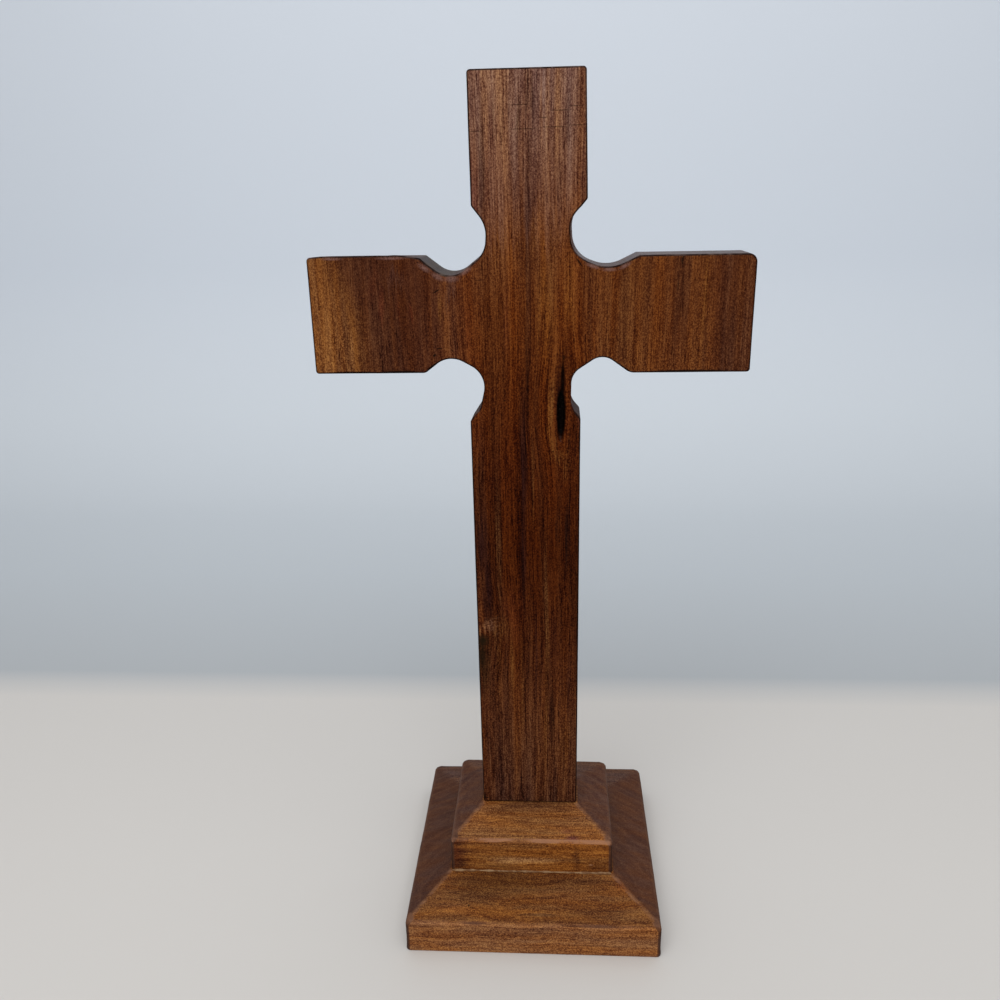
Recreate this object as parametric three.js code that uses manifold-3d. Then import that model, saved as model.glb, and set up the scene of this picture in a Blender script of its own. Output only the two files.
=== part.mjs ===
// Tabletop cross in oiled hardwood: one sawn board, cut to a cross with a scooped notch in
// each inner corner, standing on a base of two steps with sloping tops.
// Millimetres. +X is the viewer's right, +Y points away from the viewer and +Z up.
// The origin is on the table, under the middle of the lower step.
import * as THREE from "three";
import { mergeVertices } from "three/addons/utils/BufferGeometryUtils.js";
import Module from "manifold-3d";

// Lower step of the base
const LOWER_WIDTH = 97.5; // left to right
const LOWER_DEPTH = 98.5; // front to back
const LOWER_THICKNESS = 19; // of the plank it is sawn from
const LOWER_EDGE = 13.8; // height of its upright edge, below the slopes
const LOWER_CORNER = 1.6; // radius of its upright corners

// Upper step of the base
const UPPER_WIDTH = 64.2;
const UPPER_DEPTH = 53.6;
const UPPER_THICKNESS = 19;
const UPPER_EDGE = 14.8;
const UPPER_CORNER = 1.4;
const UPPER_SHIFT = -0.8; // it is glued on a little to the left

// Edges and slopes of both steps
const ARRIS = 1.6; // how far the edge between slope and side is rounded
const ARRIS_STEPS = 4;
const BOTTOM_EASE = 0.6; // sanded off the bottom edges
const SLOPE_MARGIN = 0.4; // flat strip left round what stands on a slope's top
const CORNER_STEPS = 6;

// Cross board: heights are above the foot of its shaft, sides are from the centre line
const BOARD_THICKNESS = 17;
const BOARD_EASE = 0.8; // rounding of the board's edges
const EASE_STEPS = 2;
const CROSS_HEIGHT = 274;
const SHAFT_LEFT_AT_FOOT = 20.8;
const SHAFT_RIGHT_AT_FOOT = 17.4;
const SHAFT_LEFT_AT_ARM = 21.2;
const SHAFT_RIGHT_AT_ARM = 17.6;
const HEAD_LEFT_AT_ARM = 18.9;
const HEAD_RIGHT_AT_ARM = 19.3;
const HEAD_LEFT_AT_TOP = 19.1;
const HEAD_RIGHT_AT_TOP = 18.5;
const ARM_REACH = 74.8; // from the centre line to each arm's end
const ARM_TOP = 216.8;
const LEFT_ARM_BOTTOM = 178.3;
const RIGHT_ARM_BOTTOM = 177.8;
const OUTER_CORNER = 1.2; // radius of the corners of the head, arms and foot
const LEAST_INNER_CORNER = 0.3; // corner radius left inside the rounding of the edges
const WORN_CORNER = 3; // radius of the right arm's upper corner

// The four notches, each cut by hand and none like the next. A point is [out along the arm,
// away from the arm along the upright, radius], from where arm and upright would meet.
const TOP_LEFT_NOTCH = [
  [0, 16.5, 1.5],
  [-4.8, 10.3, 9.5],
  [-4.2, 1.6, 8.3],
  [7.4, -7.5, 8.1],
  [17.3, 0, 1.2],
];
const TOP_RIGHT_NOTCH = [
  [0, 18.1, 1.2],
  [-5, 12, 9.5],
  [-4.3, -0.2, 9.7],
  [7.6, -4.6, 12],
  [17.1, 0, 1.2],
];
const BOTTOM_LEFT_NOTCH = [
  [0, 18.5, 1.2],
  [-3.6, 12.9, 9.5],
  [-6.3, 0.8, 8.3],
  [6.6, -6.4, 9.7],
  [15, 0, 2.7],
];
const BOTTOM_RIGHT_NOTCH = [
  [0, 15.8, 2],
  [-3.4, 11.8, 9],
  [-3.2, 0.3, 6.2],
  [7.3, -6.7, 5.9],
  [16.6, 0, 5],
];
const ARC_STEPS = 8; // half the segments of each rounded corner of the outline
const LEAST_SIDE = 0.02; // points of the outline that are closer than this are one

// The hollow that a dead knot left in the front, beside the lower right notch. It begins as a
// crack above the arm's lower edge and widens as it runs down. A point of it is [above the
// arm's lower edge, in from the shaft's right side, half width].
const KNOT_HOLLOW = [
  [-24.2, 7, 0.2],
  [-22.8, 7, 1],
  [-19.5, 6.9, 1.4],
  [-14.8, 6.7, 1.7],
  [-9.5, 6.6, 1.6],
  [-5.8, 6.4, 0.9],
  [2.2, 6.2, 0.5],
  [9, 5.9, 0.15],
];
const KNOT_STEEPNESS = 1.8; // its depth, over its half width
const KNOT_LEVELS = 18;
const KNOT_SIDES = 8; // round its bottom

// Stub tenon under the shaft, and its mortise in the upper step
const TENON_WIDTH = 26;
const TENON_THICKNESS = 10;
const TENON_LENGTH = 10;
const JOINT_CLEARANCE = 0.3; // all round the tenon, and between a screw and its hole

// Countersunk wood screws, driven from below
const SCREW_RADIUS = 2.1; // plain shank
const SCREW_CORE_RADIUS = 1.5; // threaded stretch, drawn at the root of its thread
const SCREW_HEAD_RADIUS = 4.1;
const SCREW_HEAD_HEIGHT = 2.4;
const SCREW_RIM = 0.3; // straight rim of the head
const SCREW_POINT = 5; // length of the tip's cone
const SCREW_SINK = 0.6; // head below the base's underside
const SHANK_SHARE = 1 / 3; // of the length that has no thread
const FOOT_SCREW_LENGTH = 63;
const STEP_SCREW_LENGTH = 31;
const STEP_SCREW_SPACING = 46; // between the two screws that hold the steps together
const PILOT_DEPTH = 1; // how far a hole runs past the screw's tip
const SCREW_SIDES = 20;
const RECESS_WIDTH = 1;
const RECESS_LENGTH = 4.6;
const RECESS_DEPTH = 1.9;
const RECESS_TAPER = 0.35; // share of the recess's length at its floor

const TOP_OF_LOWER = LOWER_THICKNESS;
const FOOT = LOWER_THICKNESS + UPPER_THICKNESS; // height of the shaft's foot
const SHAFT_CENTRE = (SHAFT_RIGHT_AT_FOOT - SHAFT_LEFT_AT_FOOT) / 2;
const FOOT_WIDTH = SHAFT_RIGHT_AT_FOOT + SHAFT_LEFT_AT_FOOT;
const TENON_BOTTOM = FOOT - TENON_LENGTH;
const OVERRUN = 1; // how far a cutting tool runs past an open face

const wasm = await Module();
wasm.setup();

// A closed geometry as a solid that can be cut and joined.
function solid(geometry) {
  const bare = new THREE.BufferGeometry();
  bare.setAttribute("position", geometry.getAttribute("position"));
  bare.setIndex(geometry.getIndex());
  const merged = mergeVertices(bare, 1e-4);
  return new wasm.Manifold(
    new wasm.Mesh({
      numProp: 3,
      vertProperties: new Float32Array(merged.attributes.position.array),
      triVerts: new Uint32Array(merged.index.array),
    }),
  );
}

// A cut or joined solid as a geometry again.
function geometryOf(body) {
  const mesh = body.getMesh();
  const geometry = new THREE.BufferGeometry();
  geometry.setAttribute("position", new THREE.BufferAttribute(mesh.vertProperties, 3));
  geometry.setIndex(new THREE.BufferAttribute(mesh.triVerts, 1));
  const flat = geometry.toNonIndexed();
  flat.computeVertexNormals();
  return flat;
}

// A box from its lowest to its highest height.
function box(width, depth, bottom, top, x = 0) {
  const geometry = new THREE.BoxGeometry(width, depth, top - bottom);
  geometry.translate(x, 0, (bottom + top) / 2);
  return solid(geometry);
}

// A turned solid about an upright axis at x, from its [radius, height] profile.
function turned(profile, x = 0) {
  const points = profile.map(([radius, height]) => new THREE.Vector2(radius, height));
  const geometry = new THREE.LatheGeometry(points, SCREW_SIDES);
  geometry.rotateX(Math.PI / 2);
  geometry.translate(x, 0, 0);
  return solid(geometry);
}

// The points of a rounded rectangle at one height, counter-clockwise from its right corner.
function ring({ x, width, depth, corner, height }) {
  const points = [];
  for (let quarter = 0; quarter < 4; quarter++) {
    const right = quarter === 0 || quarter === 3 ? 1 : -1;
    const back = quarter < 2 ? 1 : -1;
    for (let i = 0; i <= CORNER_STEPS; i++) {
      const angle = ((quarter + i / CORNER_STEPS) * Math.PI) / 2;
      points.push([
        x + right * (width / 2 - corner) + corner * Math.cos(angle),
        back * (depth / 2 - corner) + corner * Math.sin(angle),
        height,
      ]);
    }
  }
  return points;
}

// A closed solid through rings that have equal numbers of points, from the bottom up.
function loft(rings) {
  const count = rings[0].length;
  const last = rings.length - 1;
  const index = [];
  for (let level = 0; level < last; level++) {
    for (let i = 0; i < count; i++) {
      const a = level * count + i;
      const b = level * count + ((i + 1) % count);
      index.push(a, b, b + count);
      index.push(a, b + count, a + count);
    }
  }
  for (let i = 1; i < count - 1; i++) {
    index.push(0, i + 1, i);
    index.push(last * count, last * count + i, last * count + i + 1);
  }
  const geometry = new THREE.BufferGeometry();
  geometry.setAttribute("position", new THREE.Float32BufferAttribute(rings.flat(2), 3));
  geometry.setIndex(index);
  return solid(geometry);
}

// One step of the base: an upright edge, a rounded arris, and four slopes that rise to the
// outline of what stands on it. Positions along a slope go from 0 at the edge to 1 at the top.
function slopedStep({ bottom, thickness, edge, outer, inner }) {
  const between = (share, height, shrink = 0) =>
    ring({
      x: THREE.MathUtils.lerp(outer.x, inner.x, share),
      width: THREE.MathUtils.lerp(outer.width, inner.width, share) - 2 * shrink,
      depth: THREE.MathUtils.lerp(outer.depth, inner.depth, share) - 2 * shrink,
      corner: THREE.MathUtils.lerp(outer.corner, inner.corner, share),
      height: bottom + height,
    });
  const run = (outer.width - inner.width) / 2;
  const arrisShare = ARRIS / run;
  const rings = [between(0, 0, BOTTOM_EASE), between(0, BOTTOM_EASE)];
  for (let i = 0; i <= ARRIS_STEPS; i++) {
    const t = i / ARRIS_STEPS;
    const rise = (thickness - edge) * arrisShare * t * t;
    rings.push(between(arrisShare * t * t, edge - ARRIS * (1 - t) ** 2 + rise));
  }
  rings.push(between(1, thickness));
  return loft(rings);
}

// An outline through corners [x, z, radius], each rounded by an arc. An arc takes at most
// half of each side that it joins, and is never tighter than the board's eased edge can follow.
function roundedOutline(corners) {
  const points = corners.flatMap(([x, z, wanted], i) => {
    const radius = Math.max(wanted, BOARD_EASE + LEAST_INNER_CORNER);
    const corner = new THREE.Vector2(x, z);
    const before = corners[(i + corners.length - 1) % corners.length];
    const after = corners[(i + 1) % corners.length];
    const back = new THREE.Vector2(before[0] - x, before[1] - z);
    const on = new THREE.Vector2(after[0] - x, after[1] - z);
    const half = back.angleTo(on) / 2;
    const room = Math.min(back.length(), on.length()) / 2;
    const tangent = Math.min(radius / Math.tan(half), room);
    const arcRadius = tangent * Math.tan(half);
    back.normalize();
    on.normalize();
    const inward = back.clone().add(on).normalize();
    const centre = corner.clone().addScaledVector(inward, arcRadius / Math.sin(half));
    const from = back.clone().multiplyScalar(tangent).add(corner).sub(centre).angle();
    const to = on.clone().multiplyScalar(tangent).add(corner).sub(centre).angle();
    const clockwise = back.cross(on) > 0;
    const arc = new THREE.Path().absarc(centre.x, centre.y, arcRadius, from, to, clockwise);
    return arc.getPoints(ARC_STEPS);
  });
  const apart = (point, i) => point.distanceTo(points[(i + 1) % points.length]) > LEAST_SIDE;
  return new THREE.Shape(points.filter(apart));
}

// A notch's corners in the cross's own frame, in order from the upright to the arm's end.
function notch(points, side, innerX, armEdge, away) {
  return points.map(([along, up, radius]) => [side * (innerX + along), armEdge + away * up, radius]);
}

// The cross's outline, counter-clockwise from the left corner of its foot, seen from the front.
function crossOutline() {
  const leftFoot = [-SHAFT_LEFT_AT_FOOT, 0, OUTER_CORNER];
  const rightFoot = [SHAFT_RIGHT_AT_FOOT, 0, OUTER_CORNER];
  const rightArm = [
    [ARM_REACH, RIGHT_ARM_BOTTOM, OUTER_CORNER],
    [ARM_REACH, ARM_TOP, WORN_CORNER],
  ];
  const head = [
    [HEAD_RIGHT_AT_TOP, CROSS_HEIGHT, OUTER_CORNER],
    [-HEAD_LEFT_AT_TOP, CROSS_HEIGHT, OUTER_CORNER],
  ];
  const leftArm = [
    [-ARM_REACH, ARM_TOP, OUTER_CORNER],
    [-ARM_REACH, LEFT_ARM_BOTTOM, OUTER_CORNER],
  ];
  return roundedOutline([
    leftFoot,
    rightFoot,
    ...notch(BOTTOM_RIGHT_NOTCH, 1, SHAFT_RIGHT_AT_ARM, RIGHT_ARM_BOTTOM, -1),
    ...rightArm,
    ...notch(TOP_RIGHT_NOTCH, 1, HEAD_RIGHT_AT_ARM, ARM_TOP, 1).reverse(),
    ...head,
    ...notch(TOP_LEFT_NOTCH, -1, HEAD_LEFT_AT_ARM, ARM_TOP, 1),
    ...leftArm,
    ...notch(BOTTOM_LEFT_NOTCH, -1, SHAFT_LEFT_AT_ARM, LEFT_ARM_BOTTOM, -1).reverse(),
  ]);
}

// The knot's hollow as a solid: half rounds that open to the front, from its tip up.
function knotHollow() {
  const front = -BOARD_THICKNESS / 2;
  const run = new THREE.CatmullRomCurve3(KNOT_HOLLOW.map((point) => new THREE.Vector3(...point)));
  const rings = run.getPoints(KNOT_LEVELS).map(({ x: up, y: inset, z: half }) => {
    const middle = SHAFT_RIGHT_AT_ARM - inset;
    const height = FOOT + RIGHT_ARM_BOTTOM + up;
    const points = [];
    for (let i = 0; i <= KNOT_SIDES; i++) {
      const angle = (i / KNOT_SIDES) * Math.PI;
      const depth = KNOT_STEEPNESS * half * Math.sin(angle);
      points.push([middle + half * Math.cos(angle), front + depth, height]);
    }
    points.push([middle - half, front - OVERRUN, height]);
    points.push([middle + half, front - OVERRUN, height]);
    return points;
  });
  return loft(rings);
}

// The cross board with eased edges, standing on its foot, with the tenon below.
function crossBoard() {
  const geometry = new THREE.ExtrudeGeometry(crossOutline(), {
    depth: BOARD_THICKNESS - 2 * BOARD_EASE,
    curveSegments: ARC_STEPS,
    bevelEnabled: true,
    bevelThickness: BOARD_EASE,
    bevelSize: BOARD_EASE,
    bevelOffset: -BOARD_EASE,
    bevelSegments: EASE_STEPS,
  });
  geometry.translate(0, 0, BOARD_EASE - BOARD_THICKNESS / 2);
  geometry.rotateX(Math.PI / 2);
  geometry.translate(0, 0, FOOT);
  const tenon = box(TENON_WIDTH, TENON_THICKNESS, TENON_BOTTOM, FOOT + OVERRUN, SHAFT_CENTRE);
  return solid(geometry).add(tenon).subtract(knotHollow());
}

// The drill for a screw at x: countersink, clearance hole up to clearTop, then pilot hole.
function screwHole(x, length, clearTop) {
  const clear = SCREW_RADIUS + JOINT_CLEARANCE;
  const head = SCREW_HEAD_RADIUS + JOINT_CLEARANCE;
  const pilot = SCREW_CORE_RADIUS + JOINT_CLEARANCE;
  const headTop = SCREW_SINK + SCREW_HEAD_HEIGHT;
  const top = SCREW_SINK + length + PILOT_DEPTH;
  const coneStart = SCREW_SINK + SCREW_RIM + JOINT_CLEARANCE;
  return turned(
    [
      [0, -OVERRUN],
      [head, -OVERRUN],
      [head, coneStart],
      [clear, headTop + JOINT_CLEARANCE],
      [clear, clearTop],
      [pilot, clearTop],
      [pilot, top],
      [0, top],
    ],
    x,
  );
}

// The cross-shaped recess that the driver turns: two plates that narrow towards their floor.
function driverRecess(x) {
  const wide = RECESS_LENGTH / 2;
  const narrow = wide * RECESS_TAPER;
  const side = new THREE.Shape([
    new THREE.Vector2(-wide, -OVERRUN),
    new THREE.Vector2(wide, -OVERRUN),
    new THREE.Vector2(wide, 0),
    new THREE.Vector2(narrow, RECESS_DEPTH),
    new THREE.Vector2(-narrow, RECESS_DEPTH),
    new THREE.Vector2(-wide, 0),
  ]);
  const plates = [0, Math.PI / 2].map((turn) => {
    const geometry = new THREE.ExtrudeGeometry(side, { depth: RECESS_WIDTH, bevelEnabled: false });
    geometry.translate(0, 0, -RECESS_WIDTH / 2);
    geometry.rotateX(Math.PI / 2);
    geometry.rotateZ(turn);
    geometry.translate(x, 0, SCREW_SINK);
    return solid(geometry);
  });
  return plates[0].add(plates[1]);
}

// A countersunk wood screw, head down, with its threaded stretch at its core size.
function woodScrew(x, length) {
  const headTop = SCREW_SINK + SCREW_HEAD_HEIGHT;
  const shankTop = SCREW_SINK + length * SHANK_SHARE;
  const tip = SCREW_SINK + length;
  const body = turned(
    [
      [0, SCREW_SINK],
      [SCREW_HEAD_RADIUS, SCREW_SINK],
      [SCREW_HEAD_RADIUS, SCREW_SINK + SCREW_RIM],
      [SCREW_RADIUS, headTop],
      [SCREW_RADIUS, shankTop],
      [SCREW_CORE_RADIUS, shankTop + SCREW_RADIUS - SCREW_CORE_RADIUS],
      [SCREW_CORE_RADIUS, tip - SCREW_POINT],
      [0, tip],
    ],
    x,
  );
  return body.subtract(driverRecess(x));
}

function lowerStep() {
  const blank = slopedStep({
    bottom: 0,
    thickness: LOWER_THICKNESS,
    edge: LOWER_EDGE,
    outer: { x: 0, width: LOWER_WIDTH, depth: LOWER_DEPTH, corner: LOWER_CORNER },
    inner: {
      x: UPPER_SHIFT,
      width: UPPER_WIDTH + 2 * SLOPE_MARGIN,
      depth: UPPER_DEPTH + 2 * SLOPE_MARGIN,
      corner: UPPER_CORNER + SLOPE_MARGIN,
    },
  });
  return screws.reduce((body, s) => body.subtract(screwHole(s.x, s.length, s.clearTop)), blank);
}

function upperStep() {
  const blank = slopedStep({
    bottom: TOP_OF_LOWER,
    thickness: UPPER_THICKNESS,
    edge: UPPER_EDGE,
    outer: { x: UPPER_SHIFT, width: UPPER_WIDTH, depth: UPPER_DEPTH, corner: UPPER_CORNER },
    inner: {
      x: SHAFT_CENTRE,
      width: FOOT_WIDTH + 2 * SLOPE_MARGIN,
      depth: BOARD_THICKNESS + 2 * SLOPE_MARGIN,
      corner: OUTER_CORNER + SLOPE_MARGIN,
    },
  });
  const mortise = box(
    TENON_WIDTH + 2 * JOINT_CLEARANCE,
    TENON_THICKNESS + 2 * JOINT_CLEARANCE,
    TENON_BOTTOM - JOINT_CLEARANCE,
    FOOT + OVERRUN,
    SHAFT_CENTRE,
  );
  const mortised = blank.subtract(mortise);
  return screws.reduce((body, s) => body.subtract(screwHole(s.x, s.length, s.clearTop)), mortised);
}

// The long screw draws the cross down into its mortise. The two short ones hold the steps.
const footScrew = { x: SHAFT_CENTRE, length: FOOT_SCREW_LENGTH, clearTop: TENON_BOTTOM };
const stepScrews = [-1, 1].map((side) => ({
  x: UPPER_SHIFT + (side * STEP_SCREW_SPACING) / 2,
  length: STEP_SCREW_LENGTH,
  clearTop: TOP_OF_LOWER,
}));
const screws = [footScrew, ...stepScrews];

const crossWood = new THREE.MeshStandardMaterial({ color: 0x6b3a1e, roughness: 0.5, metalness: 0 });
const baseWood = new THREE.MeshStandardMaterial({ color: 0x7a4a26, roughness: 0.5, metalness: 0 });
const screwSteel = new THREE.MeshStandardMaterial({ color: 0xa8a6a0, roughness: 0.35, metalness: 1 });

const tabletopCross = new THREE.Group();
function piece(name, body, material) {
  const mesh = new THREE.Mesh(geometryOf(body), material);
  mesh.name = name;
  tabletopCross.add(mesh);
}

const pilot = screwHole(footScrew.x, footScrew.length, footScrew.clearTop);
piece("cross", crossBoard().subtract(pilot), crossWood);
piece("upper_step", upperStep(), baseWood);
piece("lower_step", lowerStep(), baseWood);
piece("foot_screw", woodScrew(footScrew.x, footScrew.length), screwSteel);
piece("step_screw_left", woodScrew(stepScrews[0].x, stepScrews[0].length), screwSteel);
piece("step_screw_right", woodScrew(stepScrews[1].x, stepScrews[1].length), screwSteel);

export default tabletopCross;
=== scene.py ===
# A tabletop cross in oiled hardwood: one sawn board, notched by hand where arms and upright
# meet, tenoned and screwed to a base of two sloping steps. Metres; +X is to the right and
# -Y towards the viewer, as in the frame that is loaded here.
import math

import bmesh
import bpy
from mathutils import Matrix, Vector, noise


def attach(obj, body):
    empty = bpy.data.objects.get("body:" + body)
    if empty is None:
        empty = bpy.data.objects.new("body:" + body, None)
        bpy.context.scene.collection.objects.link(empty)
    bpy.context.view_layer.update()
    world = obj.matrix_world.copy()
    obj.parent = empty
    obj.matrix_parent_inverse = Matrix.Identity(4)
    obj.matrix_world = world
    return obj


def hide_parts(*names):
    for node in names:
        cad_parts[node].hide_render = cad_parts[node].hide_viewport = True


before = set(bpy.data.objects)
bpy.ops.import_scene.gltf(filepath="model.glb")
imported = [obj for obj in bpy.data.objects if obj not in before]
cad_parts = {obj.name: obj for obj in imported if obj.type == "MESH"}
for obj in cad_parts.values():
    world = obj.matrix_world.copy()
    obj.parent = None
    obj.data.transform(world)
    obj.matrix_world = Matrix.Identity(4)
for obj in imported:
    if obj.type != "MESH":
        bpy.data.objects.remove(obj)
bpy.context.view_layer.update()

MM = 0.001
scene = bpy.context.scene

# The view: the camera is level with the cross's head, straight in front of it, and looks
# down at the middle of the shaft.
CAMERA_PLACE = Vector((8.15, -319.95, 281.59)) * MM
CAMERA_YAW = math.radians(3.57)
CAMERA_PITCH = math.radians(19.72)
CAMERA_ROLL = math.radians(-1.24)
CAMERA_LENS = 32.95
CAMERA_SENSOR = 36.0

camera_data = bpy.data.cameras.new("camera")
camera_data.lens = CAMERA_LENS
camera_data.sensor_width = CAMERA_SENSOR
camera = bpy.data.objects.new("camera", camera_data)
scene.collection.objects.link(camera)
scene.camera = camera
camera.matrix_world = (
    Matrix.Translation(CAMERA_PLACE)
    @ Matrix.Rotation(CAMERA_YAW, 4, "Z")
    @ Matrix.Rotation(math.radians(90) - CAMERA_PITCH, 4, "X")
    @ Matrix.Rotation(CAMERA_ROLL, 4, "Z")
)

# The cross: one board 17 mm thick with its grain upright, arms included. The outline is
# sawn, each notch is scooped by hand, and every edge is eased with sandpaper. A stub tenon
# under the foot fits the upper step. A dead knot left a hollow below the right arm.
BOARD_HALF = 8.5 * MM
BOARD_EASE = 0.8 * MM
EASE_SEGMENTS = 3
SUPPORT_STRIP = 0.5 * MM
OUTLINE_LEVEL = 6 * MM  # where the outline is taken, clear of the knot and of the eased edges
SNAP = 0.03 * MM  # points this near to a plane count as on it
OUTLINE_SNAP = 0.0001 * MM
MERGE = 0.001 * MM
STRAIGHT_ANGLE = math.radians(0.5)
FOOT = 38 * MM
TENON_CENTRE = -1.7 * MM
TENON_HALF_WIDTH = 13 * MM
TENON_HALF_THICKNESS = 5 * MM
TENON_LENGTH = 10 * MM
BOARD_REACH = 75 * MM
BOARD_TOP = 312 * MM
BOARD_STEP = 2.5 * MM
SIDE_CUTS = 7.2 * MM
BOARD_SANDING = 0.14 * MM
SANDING_HOLLOWS = 22 * MM
BROAD_SHARE = 0.7
FINE_SHARE = 0.3
FINENESS = 3.1  # how much finer the small hollows are than the broad ones
SMOOTH_ANGLE = math.radians(38)  # flatter edges than this are shaded smooth


def cut(bm, axis, level, chosen=None):
    """Cuts the chosen faces by the plane where this axis has this value."""
    normal = Vector((0, 0, 0))
    normal[axis] = 1
    faces = [f for f in bm.faces if chosen is None or chosen(f.calc_center_bounds())]
    parts = set(faces)
    for face in faces:
        parts.update(face.edges)
        parts.update(face.verts)
    bmesh.ops.bisect_plane(
        bm, geom=list(parts), dist=SNAP, plane_co=normal * level, plane_no=normal
    )


def cut_evenly(bm, axis, first, last, step, chosen=None):
    """Cuts a surface into strips, so that it can be shaped."""
    for i in range(round((last - first) / step) + 1):
        cut(bm, axis, first + i * step, chosen)


def bevel(bm, edges, offset, segments):
    bmesh.ops.bevel(
        bm,
        geom=edges,
        offset=offset,
        offset_type="OFFSET",
        segments=segments,
        profile=0.5,
        affect="EDGES",
        material=-1,
    )


def sand(bm, depth, hollows, share=None):
    """Wears the surface inwards by up to depth, in soft hollows of about the given size."""
    bm.normal_update()
    moves = []
    for vert in bm.verts:
        broad = 0.5 + 0.5 * noise.noise(vert.co / hollows)
        fine = 0.5 + 0.5 * noise.noise(vert.co * FINENESS / hollows + Vector((7, 3, 1)))
        amount = depth * (BROAD_SHARE * broad + FINE_SHARE * fine)
        if share is not None:
            amount *= share(vert.co)
        moves.append(vert.normal * -amount)
    for vert, move in zip(bm.verts, moves):
        vert.co += move


def verts_in(geom):
    """The points among what an operator gives back."""
    return [v for v in geom if isinstance(v, bmesh.types.BMVert)]


def pull_out(bm, faces, way):
    """Draws faces of a closed form out of it, and gives their new points."""
    drawn = bmesh.ops.extrude_face_region(bm, geom=faces)["geom"]
    bmesh.ops.delete(bm, geom=faces, context="FACES_ONLY")
    bmesh.ops.translate(bm, verts=verts_in(drawn), vec=way)
    return verts_in(drawn)


def smooth_share(low, high, value):
    """Rises smoothly from 0 at low to 1 at high."""
    t = min(1, max(0, (value - low) / (high - low)))
    return t * t * (3 - 2 * t)


board = bmesh.new()
board.from_mesh(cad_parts["cross"].data)
bmesh.ops.remove_doubles(board, verts=board.verts[:], dist=MERGE)
bmesh.ops.bisect_plane(
    board,
    geom=board.verts[:] + board.edges[:] + board.faces[:],
    dist=OUTLINE_SNAP,
    plane_co=(0, OUTLINE_LEVEL, 0),
    plane_no=(0, 1, 0),
    clear_inner=True,
    clear_outer=True,
)
bmesh.ops.dissolve_limit(
    board, angle_limit=STRAIGHT_ANGLE, verts=board.verts[:], edges=board.edges[:]
)
bmesh.ops.contextual_create(board, geom=board.edges[:])
bmesh.ops.translate(board, verts=board.verts[:], vec=(0, -BOARD_HALF - OUTLINE_LEVEL, 0))
thickened = bmesh.ops.extrude_face_region(board, geom=board.faces[:])["geom"]
bmesh.ops.translate(board, verts=verts_in(thickened), vec=(0, 2 * BOARD_HALF, 0))
bmesh.ops.recalc_face_normals(board, faces=board.faces[:])
rims = [e for e in board.edges if abs(e.verts[0].co.y - e.verts[1].co.y) < SNAP]
bevel(board, rims, BOARD_EASE, EASE_SEGMENTS)
flats = [f for f in board.faces if abs(abs(f.calc_center_bounds().y) - BOARD_HALF) < SNAP]
bmesh.ops.inset_region(board, faces=flats, thickness=SUPPORT_STRIP, use_even_offset=True)


def under_foot(centre):
    return centre.z < FOOT + SNAP


for side in (-1, 1):
    cut(board, 0, TENON_CENTRE + side * TENON_HALF_WIDTH, under_foot)
    cut(board, 1, side * TENON_HALF_THICKNESS, under_foot)
tenon_root = [
    f
    for f in board.faces
    if under_foot(f.calc_center_bounds())
    and abs(f.calc_center_bounds().x - TENON_CENTRE) < SNAP
    and abs(f.calc_center_bounds().y) < SNAP
]
pull_out(board, tenon_root, (0, 0, -TENON_LENGTH))


def above_foot(centre):
    return centre.z > FOOT + SNAP


cut_evenly(board, 0, -BOARD_REACH, BOARD_REACH, BOARD_STEP, above_foot)
cut_evenly(board, 2, FOOT + BOARD_STEP, BOARD_TOP, BOARD_STEP, above_foot)
cut_evenly(board, 1, -SIDE_CUTS, SIDE_CUTS, SIDE_CUTS / 2, above_foot)
sand(board, BOARD_SANDING, SANDING_HOLLOWS, lambda p: smooth_share(FOOT, FOOT + BOARD_STEP, p.z))

# Cuts that the hand saw and the rasp left out of square, so that their front edge is not
# level with their back edge: middle across and up, reach across and up, and the way that
# the front edge is off, across and up.
OUT_OF_SQUARE = [
    ((-59, 253), (25, 12), (0, 1.5)),
    ((-41, 256), (7, 6), (0, 0.5)),
    ((56, 250), (60, 10), (0, 0.35)),
    ((16, 262), (8, 10), (-0.8, 0)),
    ((-19.5, 197), (8, 7), (0, 1.3)),
]
OFF_SQUARE_CORE = 0.4  # share of its reach over which a cut is off in full
for vert in board.verts:
    front_share = 0.5 - 0.5 * vert.co.y / BOARD_HALF
    move = Vector((0, 0, 0))
    for (across, up), (reach_across, reach_up), (aside, upwards) in OUT_OF_SQUARE:
        off_centre = math.hypot(
            (vert.co.x / MM - across) / reach_across, (vert.co.z / MM - up) / reach_up
        )
        share = smooth_share(1, OFF_SQUARE_CORE, off_centre) * front_share
        move += Vector((aside, 0, upwards)) * share * MM
    vert.co += move

# The knot's hollow: height, middle and half width of its mouth, from its crack down.
KNOT_MOUTH = [
    (226, 11.7, 0.1),
    (222, 11.7, 0.3),
    (218, 11.4, 0.5),
    (214, 11.3, 0.75),
    (210, 11.2, 0.85),
    (208, 11.0, 1.25),
    (205, 10.9, 1.65),
    (201, 10.9, 1.7),
    (198, 10.8, 1.55),
    (195, 10.7, 1.4),
    (193, 10.6, 1.05),
    (191.8, 10.6, 0.5),
    (191.3, 10.6, 0.05),
]
KNOT_DEPTH = 3.2 * MM
KNOT_STEEPNESS = 1.9  # depth of the narrow parts for each unit of their half width
KNOT_WALL = 0.55  # share of its half width that the hollow's wall takes
KNOT_ROUGHNESS = 0.45
KNOT_GRIT = 1.1 * MM
KNOT_FLOOR_GRIT = 0.9 * MM
KNOT_LEFT = 6.5 * MM
KNOT_RIGHT = 14.9 * MM
KNOT_BOTTOM = 190.5 * MM
KNOT_TOP = 227.3 * MM
KNOT_MARGIN = 0.5 * MM
KNOT_STEP = 0.4 * MM


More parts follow.
